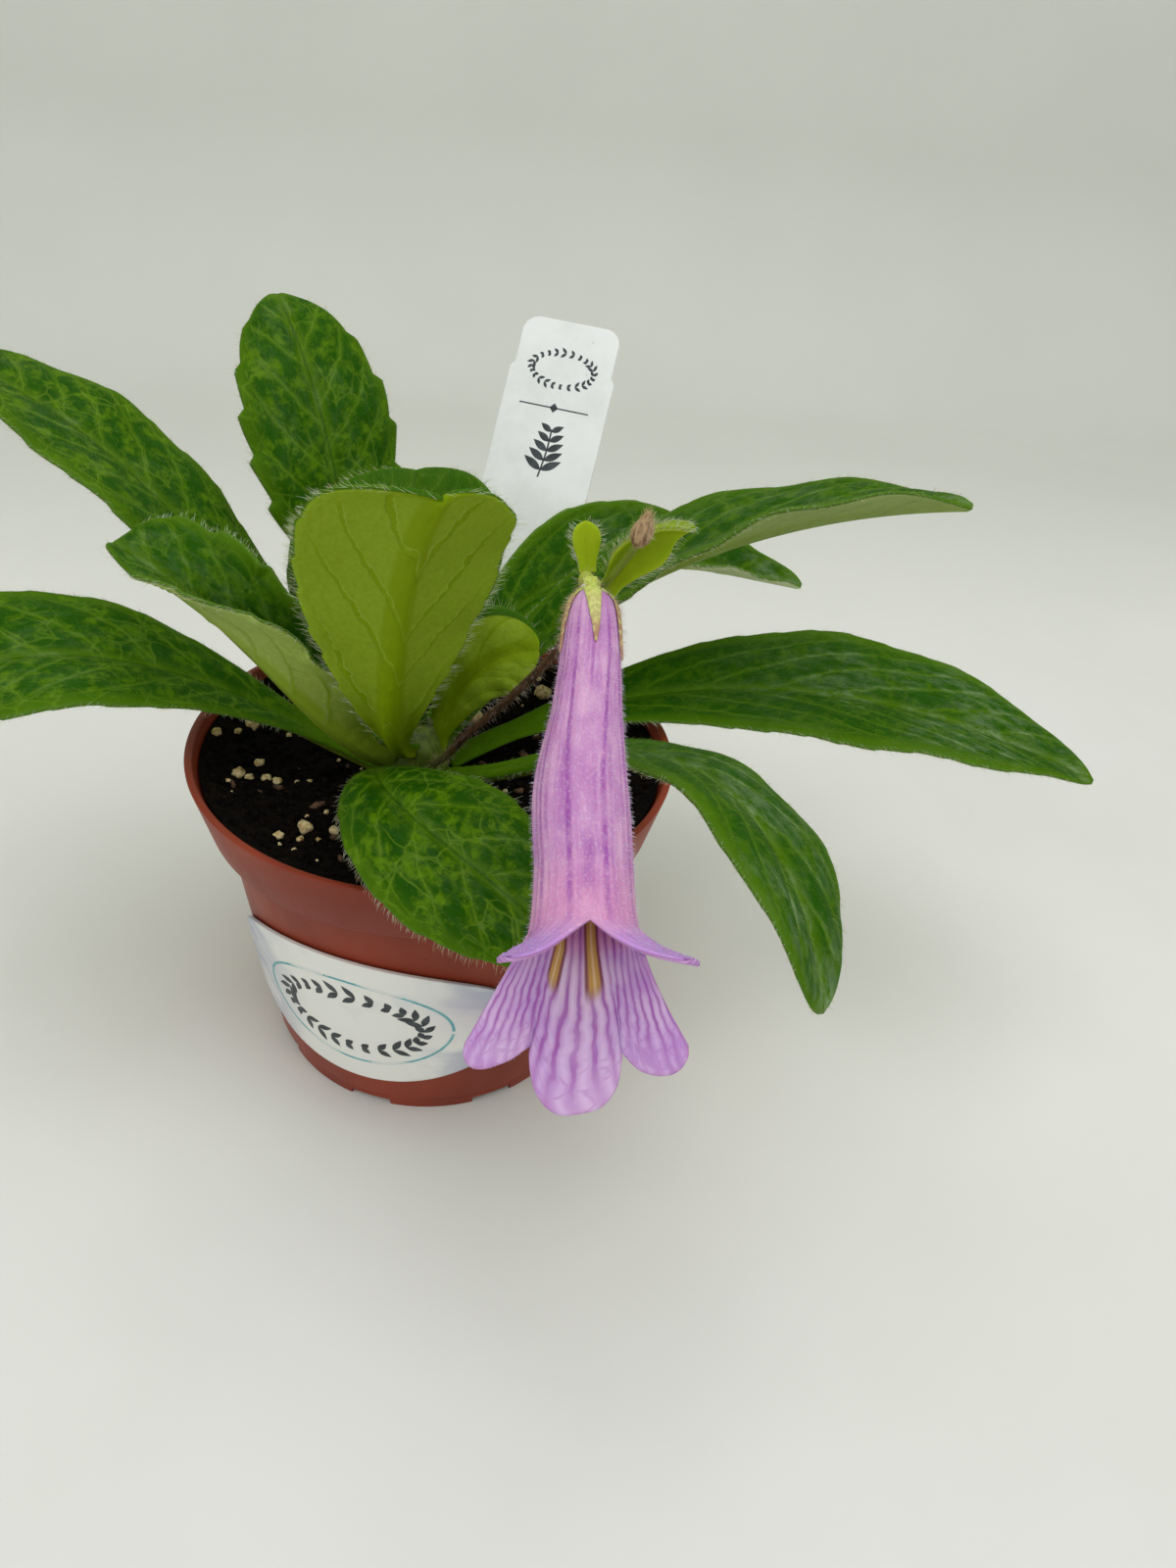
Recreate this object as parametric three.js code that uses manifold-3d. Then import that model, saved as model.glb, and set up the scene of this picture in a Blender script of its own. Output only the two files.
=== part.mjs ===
import * as THREE from 'three';
import { mergeVertices } from 'three/addons/utils/BufferGeometryUtils.js';
import Module from 'manifold-3d';

// A moonlight primulina in its 3 inch pot: pot, soil, crown, leaves, one flower and a plant tag.
// Millimetres and degrees, +Z up. The origin is the middle of the pot's foot, on the table.

// Pot
const RIM_RADIUS = 38;
const POT_HEIGHT = 55.9;
const BAND_HEIGHT = 10.4;
const BAND_FOOT_RADIUS = 35.3;
const BODY_TOP_RADIUS = 33;
const BODY_FOOT_RADIUS = 27.3;
const WALL = 1.2;
const LEDGE_HEIGHT = 3;
const LEDGE_STEP = 0.6;
const FLOOR_TOP = 2.7;
const FLOOR_RECESS = 1.4;
const BOSS_RADIUS = 9;
const FOOT_RING_WIDTH = 3;
const DRAIN_COUNT = 6;
const DRAIN_RADIUS = 3.4;
const DRAIN_CIRCLE = 17;
const DRAIN_SIDES = 16;
const NOTCH_COUNT = 8;
const NOTCH_WIDTH = 7;
const NOTCH_HEIGHT = 1.3;
const EDGE = 0.3;
const ROUND_STEPS = 42;

// Soil and the grains in it
// It lies lower round the crown and banks up to just under the rim.
const SOIL_TOP = 47.9;
const SOIL_EDGE = 54.2;
const SOIL_EDGE_GAP = 0.4;
const SOIL_BANK_START = 12;
const SOIL_BANK_END = 36;
const SOIL_BANK_POWER = 1.3;
const CLEARANCE = 0.3;
const SOIL_RINGS = 6;
const SOIL_SIDES = 36;
const SOIL_RIPPLE = 0.45;
const SOIL_DIP = 1.8;
const SOIL_DIP_RADIUS = 11;
const SCATTER_RADIUS = 31;
const SCATTER_SEED = 7;
const SCATTERED_GRAINS = 16;
const GRAIN_SIZES = [0.7, 1.5];
// Larger grains where they show: x, y and radius
const GRAINS = [
  [-34.4, 4.6, 1],
  [-29.5, 9.3, 1.4],
  [-31.4, 6.3, 0.7],
  [-27.4, -0.5, 0.95],
  [-29.8, -4.8, 1.1],
  [-28.2, -5.1, 0.85],
  [-25.8, -4.3, 0.95],
  [-24.2, -4.4, 0.8],
  [-22.2, -20.5, 0.9],
  [-18.8, -16.6, 1.4],
  [-14.7, -15.8, 0.95],
  [-23.8, 8.6, 0.6],
  [6.8, 17.9, 1.9],
  [18.9, 21.6, 1.9],
];

// Crown: the short stem that every leaf and the flower stalk grow from
const CROWN = [-2.8, 4];
const CROWN_RADIUS = 5.4;
const CROWN_SIDES = 24;
// Its outline: share of the radius at each height
const CROWN_OUTLINE = [
  [0.6, 40],
  [1, 47],
  [1, 50.5],
  [0.85, 54],
  [0.5, 56.5],
];

// Leaves. seat: bearing, radius and height of the base on the crown. azimuth: heading at the
// base and the tip. rise: slope at the base, middle and tip. widest: where the blade is widest.
// fold lifts both halves from the midrib and curl bends them on outwards.
const BLADE = 0.8;
const LEAVES = {
  leaf_far_left: {
    seat: [150, 4.5, 51.5], azimuth: [162, 154], rise: [36, 41, -6], roll: [-1, 3],
    length: 95, halfWidth: 12.1, widest: 0.63, petiole: 1.9, fold: 23, curl: -15, point: 2,
    teeth: 0.35, wave: 0.5,
  },
  leaf_back: {
    seat: [112, 3.8, 53.5], azimuth: [132, 117], rise: [42, 70, 24], roll: [1, -6],
    length: 71.7, halfWidth: 12.6, widest: 0.66, petiole: 1.9, fold: 19, curl: -25, point: 2.1,
    teeth: 0.8, wave: 0.3,
  },
  leaf_folded_left: {
    seat: [202, 4.4, 51.5], azimuth: [247, 129], rise: [26, 52, -13], roll: [4, -25],
    length: 61.2, halfWidth: 10.3, widest: 0.63, petiole: 2, fold: 64, curl: 0, point: 1.4,
    teeth: 0.4, wave: 0.5,
  },
  leaf_low_left: {
    seat: [190, 5.2, 48.8], azimuth: [186, 200], rise: [31, 19, -60], roll: [-2, -20],
    length: 84.2, halfWidth: 12.9, widest: 0.67, petiole: 2, fold: 22, curl: -15, point: 2.1,
    teeth: 0.25, wave: 0.3,
  },
  leaf_young_front: {
    seat: [262, 2.6, 54], azimuth: [251, 307], rise: [22, 65, 50], roll: [10, -18],
    length: 69.3, halfWidth: 13.9, widest: 0.84, petiole: 1.3, fold: 32, curl: -16, point: 2.2,
    teeth: 0.15, wave: 0.3,
  },
  leaf_young_back: {
    seat: [80, 1.2, 54.5], azimuth: [81, 84], rise: [105, 103, 13], roll: [-3, -9],
    length: 49.5, halfWidth: 16.9, widest: 0.65, petiole: 1.8, fold: 16, curl: -6, point: 2.3,
    teeth: 0.15, wave: 0.2,
  },
  leaf_small: {
    seat: [350, 3.4, 53.5], azimuth: [5, 2], rise: [76, 58, -16], roll: [10, 18],
    length: 25.5, halfWidth: 9.8, widest: 0.7, petiole: 1.9, fold: 20, curl: -22, point: 2.3,
    teeth: 0.15, wave: 0.2, stations: 20,
  },
  leaf_right_back: {
    seat: [74, 4.6, 51.5], azimuth: [48.5, 21], rise: [58.2, -5.2, -17], roll: [5, 22],
    length: 101.8, halfWidth: 12.5, widest: 0.5, petiole: 1.2, fold: 29, curl: 6, point: 1.25,
    teeth: 0.3, wave: 0.4,
  },
  leaf_right_high: {
    seat: [26, 4.2, 51.8], azimuth: [31, -46], rise: [46, 31, 17], roll: [10, -13],
    length: 95, halfWidth: 14, widest: 0.59, petiole: 2, fold: 32, curl: -14, point: 2.3,
    teeth: 0.4, wave: 0.5, taper: 0.85,
  },
  leaf_right: {
    seat: [12, 5.3, 48.8], azimuth: [11, -22], rise: [27, 1, -18], roll: [20, 3],
    length: 112.2, halfWidth: 14.9, widest: 0.64, petiole: 2, fold: 22, curl: -12, point: 1.9,
    teeth: 0.3, wave: 0.4, taper: 0.75,
  },
  leaf_right_low: {
    seat: [320, 5.3, 48.8], azimuth: [-38, -81], rise: [24, 24, -58], roll: [22, -42],
    length: 94.4, halfWidth: 10.6, widest: 0.77, petiole: 1.9, fold: 22, curl: -20, point: 2.4,
    teeth: 0.25, wave: 0.4, taper: 0.75,
  },
  leaf_front: {
    seat: [248, 4.8, 48.8], azimuth: [238, 360], rise: [43, 5, -66], roll: [6, 34],
    length: 66.7, halfWidth: 11.7, widest: 0.69, petiole: 1.7, fold: 20, curl: -27, point: 1.5,
    teeth: 0.25, wave: 0.2,
  },
};
const LEAF_STATIONS = 30;
const STATIONS_PER_TOOTH = 3;
const LEAF_COLUMNS = 4;
const WIDE_LEAF = 13.5;
const BLADE_START = 0.35;
const TIP_HALF_WIDTH = 0.4;
const TAPER = 0.62;
const PETIOLE_FOLD = 0.4;
const KEEL = 1.4;
const KEEL_SPREAD = 1.5;
const WAVES = 5;

// Flower
const TUBE_START = [18, -29.8, 96.2];
const TUBE_END = [16, -66.5, 74.6];
// Radii of the corolla tube from start to mouth, and the wall of all petals
const TUBE_RADII = [1.7, 2.5, 3.1, 3.5, 3.85, 4.3, 4.8, 5.1, 5.25, 5.3, 5.55, 6];
const PETAL = 0.7;
const AROUND = 20;
const LOBE_COLUMNS = 4;
const LOBE_ROWS = 5;
const LOBE_END_HALF = 0.8;
const LIP_ROWS = 4;
const LIP_LENGTH = 9.5;
const LIP_HALF_ANGLE = 108;
const LIP_END_BEND = 12;
const LIP_END_HALF_ANGLE = 52;
const LIP_DROOP = 1.1;
const MIDDLE_LOBE_LENGTH = 8.3;
const SIDE_LOBE_LENGTH = 6.5;
const SIDE_LOBE_SPREAD = 40;
const LOWER_LOBE_SWELL = 0.12;
const LOWER_LOBE_DROOP = 1;
const UPPER_LOBE_LENGTH = 9.5;
const UPPER_LOBE_FLARE = 62;
const UPPER_LOBE_BEARING = 48;
const UPPER_LOBE_SWELL = 0.35;

// Calyx: the cup's place along the tube and its radius past the tube's wall, then the sepals
const CALYX_WALL = 0.6;
const CALYX_GAP = 0.7;
const CUP_BACK = [
  [-2.4, 0],
  [-2.2, 0.9],
  [-1.4, 1.8],
];
const CUP_FRONT = [0.6, 1.8];
const SEPAL_LENGTHS = [8.8, 8.6, 8.5, 8.5, 9.6];
const SEPAL_SHARES = [0.35, 0.7, 1];
const SEPAL_HALF = 1.15;
const SEPAL_TIP_HALF = 0.35;

// Pistil and stamens inside the tube: along it, aside and up
const PISTIL_PATH = [
  [-1.3, 0, 0],
  [12, 0, 0.2],
  [28, 0, 1.2],
  [36, 0, 2],
];
const OVARY_RADIUS = 0.8;
const STYLE_RADIUS = 0.45;
const FILAMENT_PATH = [
  [17, 1.6, -2.6],
  [22, 2.2, -0.4],
  [26, 1.4, 2.4],
  [28, 0, 3.6],
];
const FILAMENT_RADIUS = 0.35;
const ANTHERS_AT = [28.3, 0, 3.6];
const ANTHERS_SIZE = [1.8, 0.9, 0.7];

// Flower stalk, with the swelling at its end that carries the bracts
const STALK_RADIUS = 0.65;
const NODE_RADIUS = 1.1;
const NODE_START = 0.93;
const STALK_PATH = [
  [-0.6, 0.4, 51],
  [1.6, -3, 54.8],
  [4.8, -5.6, 60.6],
  [8.4, -8.4, 66.2],
  [13.9, -15.2, 77.1],
  [16.2, -19.2, 83],
  [17.8, -23, 90],
  [18.3, -24.2, 94.6],
  [18.2, -25.2, 97],
  [18.1, -26.4, 98.1],
];

// Bracts and side bud at the top of the stalk
const BRACTS = {
  bract_left: {
    base: [18.8, -22.6, 95.9], azimuth: [102, 90], rise: [50, 66, 60], roll: [0, 0],
    length: 6.4, halfWidth: 1.9, widest: 0.6, petiole: 0.8, fold: 15, curl: 0, point: 2.2,
    teeth: 0, wave: 0, keel: 0.2, stations: 10,
  },
  bract_right: {
    base: [20.74, -25.2, 94.42], azimuth: [-2.8, -8.1], rise: [54, 56, -31], roll: [69.5, 150.6],
    length: 15.5, halfWidth: 3.6, widest: 0.52, petiole: 1.4, fold: 33.5, curl: 0, point: 2,
    teeth: 0, wave: 0, keel: 0.3, stations: 12,
  },
};
const BUD_STALK_RADIUS = 0.45;
const BUD_SWELL = 0.95;
const BUD_START = 0.66;
const BUD_PATH = [
  [19.8, -26.7, 95.2],
  [20.9, -27.4, 97.4],
  [22.4, -28.4, 100.4],
  [23.3, -29.8, 103],
  [23.9, -30.5, 105.6],
  [24.2, -30.6, 107.4],
];

// Plant tag: a flat stake. Heights are measured along it from where it enters the soil.
const TAG_FOOT = [9.1, 28.4, 48];
const TAG_TURN = 16.8;
const TAG_LEAN_BACK = 35;
const TAG_LEAN_SIDE = 3.4;
const TAG_THICKNESS = 0.6;
const TAG_TOP = 69.4;
const TAG_SHOULDER = 59.6;
const TAG_TAPER = 37;
const TAG_NECK = 9;
const TAG_NECK_HALF = 4;
const TAG_POINT = -20;
const TAG_HALF = 9.1;
const TAG_STUB = 0.75;
const TAG_CORNER = 3;
const TAG_POINT_HALF = 1.5;

// Oval label on the pot's body, in front to the left
const LABEL_BEARING = -114;
const LABEL_HALF_ANGLE = 51;
const LABEL_MIDDLE = 22.5;
const LABEL_HALF_HEIGHT = 14.2;
const LABEL_THICKNESS = 0.6;
const LABEL_COLUMNS = 24;
const LABEL_END_SHARE = 0.05;

const COLOURS = {
  pot: 0x83402f,
  soil: 0x1d1916,
  crown: 0x5f7a33,
  leaf: 0x3c6420,
  young: 0x7e9440,
  stalk: 0x6b4a35,
  bract: 0xa9b830,
  calyx: 0xb9c270,
  corolla: 0xd3a0d6,
  pistil: 0xe6e2cf,
  stamens: 0xeee3b8,
  tag: 0xeceeeb,
  label: 0xe4e6ea,
};

const rad = THREE.MathUtils.degToRad;
const lerp = THREE.MathUtils.lerp;
const clamp = THREE.MathUtils.clamp;
const vec = (values) => new THREE.Vector3(...values);

const wasm = await Module();
wasm.setup();

// Seeded random numbers from 0 to 1
function makeRandom(seed) {
  let state = seed;
  return () => {
    state = (state * 1664525 + 1013904223) % 4294967296;
    return state / 4294967296;
  };
}

// A closed geometry as a solid for joins and cuts
function toSolid(geometry) {
  const bare = geometry.clone();
  bare.deleteAttribute('normal');
  bare.deleteAttribute('uv');
  const merged = mergeVertices(bare, 1e-4);
  return new wasm.Manifold(new wasm.Mesh({
    numProp: 3,
    vertProperties: new Float32Array(merged.attributes.position.array),
    triVerts: new Uint32Array(merged.index.array),
  }));
}

// A solid back as a geometry
function toGeometry(solid) {
  const mesh = solid.getMesh();
  const geometry = new THREE.BufferGeometry();
  geometry.setAttribute('position', new THREE.BufferAttribute(new Float32Array(mesh.vertProperties), 3));
  geometry.setIndex(new THREE.BufferAttribute(new Uint32Array(mesh.triVerts), 1));
  geometry.computeVertexNormals();
  return geometry;
}

// Turns a profile of [radius, height] pairs round Z
function turned(profile, steps = ROUND_STEPS) {
  const geometry = new THREE.LatheGeometry(profile.map((pair) => new THREE.Vector2(...pair)), steps);
  return geometry.rotateX(Math.PI / 2);
}

// Triangles of a grid of points in rows, split the same way everywhere
function gridFaces(rows, columns) {
  const faces = [];
  for (let i = 0; i < rows - 1; i += 1) {
    for (let j = 0; j < columns - 1; j += 1) {
      const a = i * columns + j;
      const b = a + columns;
      faces.push([a, b, b + 1], [a, b + 1, a + 1]);
    }
  }
  return faces;
}

// Gives a sheet of points its thickness on both sides and closes it along its free edges
function thicken(points, faces, above, below) {
  const sheet = new THREE.BufferGeometry();
  sheet.setFromPoints(points);
  sheet.setIndex(faces.flat());
  sheet.computeVertexNormals();
  const normals = sheet.attributes.normal;
  const upper = points.map((p, k) => p.clone().addScaledVector(vec([normals.getX(k), normals.getY(k),
    normals.getZ(k)]), above(k)));
  const lower = points.map((p, k) => p.clone().addScaledVector(vec([normals.getX(k), normals.getY(k),
    normals.getZ(k)]), -below(k)));
  const count = points.length;
  const directed = new Set(faces.flatMap(([a, b, c]) => [`${a},${b}`, `${b},${c}`, `${c},${a}`]));
  const index = [];
  for (const [a, b, c] of faces) {
    index.push(a, b, c, a + count, c + count, b + count);
    for (const [from, to] of [[a, b], [b, c], [c, a]]) {
      if (!directed.has(`${to},${from}`)) {
        index.push(to, from, from + count, to, from + count, to + count);
      }
    }
  }
  const geometry = new THREE.BufferGeometry();
  geometry.setFromPoints([...upper, ...lower]);
  geometry.setIndex(index);
  geometry.computeVertexNormals();
  return geometry;
}

// A round stem of changing radius along a curve, closed at both ends
function stem(path, radiusAt, steps, sides) {
  const curve = new THREE.CatmullRomCurve3(path);
  const frames = curve.computeFrenetFrames(steps);
  const points = [];
  for (let i = 0; i <= steps; i += 1) {
    const centre = curve.getPointAt(i / steps);
    for (let k = 0; k < sides; k += 1) {
      const angle = (2 * Math.PI * k) / sides;
      const radius = radiusAt(i / steps);
      points.push(centre.clone()
        .addScaledVector(frames.normals[i], radius * Math.cos(angle))
        .addScaledVector(frames.binormals[i], radius * Math.sin(angle)));
    }
  }
  const index = [];
  for (let i = 0; i < steps; i += 1) {
    for (let k = 0; k < sides; k += 1) {
      const a = i * sides + k;
      const b = i * sides + ((k + 1) % sides);
      index.push(a, b, b + sides, a, b + sides, a + sides);
    }
  }
  for (let k = 1; k < sides - 1; k += 1) {
    const last = steps * sides;
    index.push(0, k + 1, k, last, last + k, last + k + 1);
  }
  const geometry = new THREE.BufferGeometry();
  geometry.setFromPoints(points);
  geometry.setIndex(index);
  geometry.computeVertexNormals();
  return geometry;
}

// Pot: rim band, step, tapered body, ledge and foot ring
const innerFoot = BODY_FOOT_RADIUS - WALL;
const bandFoot = POT_HEIGHT - BAND_HEIGHT;

function makePot() {
  const footInner = BODY_FOOT_RADIUS - LEDGE_STEP - FOOT_RING_WIDTH;
  const body = toSolid(turned([
    [0, 0],
    [BOSS_RADIUS, 0],
    [BOSS_RADIUS + 1, FLOOR_RECESS],
    [footInner, FLOOR_RECESS],
    [footInner, 0],
    [BODY_FOOT_RADIUS - LEDGE_STEP - EDGE, 0],
    [BODY_FOOT_RADIUS - LEDGE_STEP, LEDGE_HEIGHT],
    [BODY_FOOT_RADIUS, LEDGE_HEIGHT + EDGE],
    [BODY_TOP_RADIUS, bandFoot],
    [BAND_FOOT_RADIUS, bandFoot + EDGE],
    [RIM_RADIUS, POT_HEIGHT - EDGE],
    [RIM_RADIUS - EDGE, POT_HEIGHT],
    [RIM_RADIUS - WALL, POT_HEIGHT],
    [BAND_FOOT_RADIUS - WALL, bandFoot + WALL],
    [BODY_TOP_RADIUS - WALL, bandFoot],
    [innerFoot, FLOOR_TOP],
    [0, FLOOR_TOP],
  ]));
  const cutters = [];
  for (let k = 0; k < DRAIN_COUNT; k += 1) {
    const angle = (2 * Math.PI * k) / DRAIN_COUNT;
    const drain = new THREE.CylinderGeometry(DRAIN_RADIUS, DRAIN_RADIUS, 4 * FLOOR_TOP, DRAIN_SIDES);
    drain.rotateX(Math.PI / 2);
    drain.translate(DRAIN_CIRCLE * Math.cos(angle), DRAIN_CIRCLE * Math.sin(angle), 0);
    cutters.push(toSolid(drain));
  }
  for (let k = 0; k < NOTCH_COUNT; k += 1) {
    const notch = new THREE.BoxGeometry(4 * FOOT_RING_WIDTH, NOTCH_WIDTH, 2 * NOTCH_HEIGHT);
    notch.translate(BODY_FOOT_RADIUS - FOOT_RING_WIDTH / 2, 0, 0);
    notch.rotateZ((2 * Math.PI * (k + 0.5)) / NOTCH_COUNT);
    cutters.push(toSolid(notch));
  }
  return toGeometry(body.subtract(wasm.Manifold.union(cutters)));
}

// Crown: a stub of stem, cut clear of everything that grows from it
function makeCrown(grow = 0) {
  const last = CROWN_OUTLINE.length - 1;
  const outline = CROWN_OUTLINE.map(([share, height], k) => {
    const longer = (k === last ? grow : 0) - (k === 0 ? grow : 0);
    return [CROWN_RADIUS * share + grow, height + longer];
  });
  const profile = [[0, outline[0][1]], ...outline, [0, outline[last][1]]];
  return toSolid(turned(profile, CROWN_SIDES).translate(...CROWN, 0));
}

// Where on the crown a leaf begins
function seatPoint([bearing, radius, height]) {
  return vec([CROWN[0] + radius * Math.cos(rad(bearing)), CROWN[1] + radius * Math.sin(rad(bearing)),
    height]);
}

// One leaf blade with its petiole. grow makes it larger all round, to cut its place in the crown.
function makeLeaf(leaf, grow = 0) {
  const stations = leaf.stations ?? LEAF_STATIONS;
  const columns = leaf.halfWidth > WIDE_LEAF ? LEAF_COLUMNS + 2 : LEAF_COLUMNS;
  const step = leaf.length / stations;
  const centre = leaf.base ? vec(leaf.base) : seatPoint(leaf.seat);
  const points = [];
  const sides = [];
  let lastHeading = null;
  for (let i = 0; i <= stations; i += 1) {
    const t = i / stations;
    const azimuth = rad(lerp(leaf.azimuth[0], leaf.azimuth[1], t));
    const slope = rad(leaf.rise[0] * (1 - t) * (1 - 2 * t) + leaf.rise[1] * 4 * t * (1 - t)
      + leaf.rise[2] * t * (2 * t - 1));
    const heading = vec([Math.cos(azimuth) * Math.cos(slope), Math.sin(azimuth) * Math.cos(slope),
      Math.sin(slope)]);
    if (lastHeading) {
      centre.addScaledVector(heading.clone().add(lastHeading), step / 2);
    } else {
      centre.addScaledVector(heading, -grow);
    }
    lastHeading = heading;
    const level = vec([-Math.sin(azimuth), Math.cos(azimuth), 0]);
    const upright = heading.clone().cross(level);
    const roll = rad(lerp(leaf.roll[0], leaf.roll[1], t));
    const side = level.clone().multiplyScalar(Math.cos(roll)).addScaledVector(upright, Math.sin(roll));
    const face = upright.multiplyScalar(Math.cos(roll)).addScaledVector(level, -Math.sin(roll));
    const half = halfWidthAt(leaf, t, i) + grow;
    const ripple = leaf.wave * clamp((t - BLADE_START) / 0.2, 0, 1);
    for (let j = 0; j <= columns; j += 1) {
      const v = (2 * j) / columns - 1;
      const [across, lift] = foldedSection(leaf, Math.abs(v), t);
      const swing = ripple * Math.abs(v) ** 1.5 * Math.sin(2 * Math.PI * WAVES * t + 2 * Math.sign(v));
      points.push(centre.clone()
        .addScaledVector(side, Math.sign(v) * half * across)
        .addScaledVector(face, half * lift + swing));
      sides.push([t, v * half]);
    }
    if (i === 0) {
      centre.addScaledVector(heading, grow);
    }
  }
  const keelDepth = leaf.keel ?? KEEL;
  const keel = (k) => keelDepth * (1 - 0.8 * sides[k][0]) * Math.exp(-((sides[k][1] / KEEL_SPREAD) ** 2));
  return thicken(points, gridFaces(stations + 1, columns + 1), () => BLADE / 2 + grow,
    (k) => BLADE / 2 + keel(k) + grow);
}

// Half the blade's width at a station: petiole, widening blade, pointed end and toothed edge
function halfWidthAt(leaf, t, station) {
  const widening = clamp((t - 0.1) / (leaf.widest - 0.1), 0, 1);
  const full = leaf.petiole + (leaf.halfWidth - leaf.petiole) * Math.sin((Math.PI / 2) * widening ** 1.4);
  const ending = clamp((t - leaf.widest) / (1 - leaf.widest), 0, 1);
  const taper = (1 - ending ** leaf.point) ** (leaf.taper ?? TAPER);
  const tooth = t > BLADE_START ? leaf.teeth * ((station % STATIONS_PER_TOOTH) / 2 - 0.5) : 0;
  return Math.max(full * taper + tooth * taper, TIP_HALF_WIDTH);
}

// How far a point at v of the half width lies across and above the midrib, as shares of it
function foldedSection(leaf, v, t) {
  const parts = 8;
  const fold = leaf.fold * lerp(PETIOLE_FOLD, 1, clamp(t / 0.2, 0, 1));
  let across = 0;
  let lift = 0;
  for (let k = 0; k < parts; k += 1) {
    const angle = rad(fold + leaf.curl * 2 * ((v * (k + 0.5)) / parts));
    across += (Math.cos(angle) * v) / parts;
    lift += (Math.sin(angle) * v) / parts;
  }
  return [across, lift];
}

// Flower stalk with the swelling that carries the bracts
function makeStalk(grow = 0) {
  const path = STALK_PATH.map(vec);
  path[0].addScaledVector(path[1].clone().sub(path[0]).normalize(), -grow);
  const radiusAt = (t) => {
    const inNode = clamp((t - NODE_START) / 0.05, 0, 1);
    return lerp(STALK_RADIUS, NODE_RADIUS, inNode) + grow;
  };
  return stem(path, radiusAt, 28, 8);
}

// The flower's own frame: forward along the tube, dorsal towards its upper lip
const tubeStart = vec(TUBE_START);
const tubeEnd = vec(TUBE_END);
const forward = tubeEnd.clone().sub(tubeStart).normalize();
const dorsal = vec([0, 0, 1]).addScaledVector(forward, -forward.z).normalize();
const lateral = dorsal.clone().cross(forward).normalize();
const tubeLength = tubeStart.distanceTo(tubeEnd);

// A point in the flower's frame: along the tube from its start, then lateral and dorsal
function inFlower(along, aside, up) {
  return tubeStart.clone().addScaledVector(forward, along).addScaledVector(lateral, aside)
    .addScaledVector(dorsal, up);
}

// Radius of the corolla tube at a share of its length: a narrow throat that opens into a bell
function tubeRadius(share) {
  const place = clamp(share, 0, 1) * (TUBE_RADII.length - 1);
  const k = Math.min(Math.floor(place), TUBE_RADII.length - 2);
  return lerp(TUBE_RADII[k], TUBE_RADII[k + 1], place - k);
}

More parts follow.
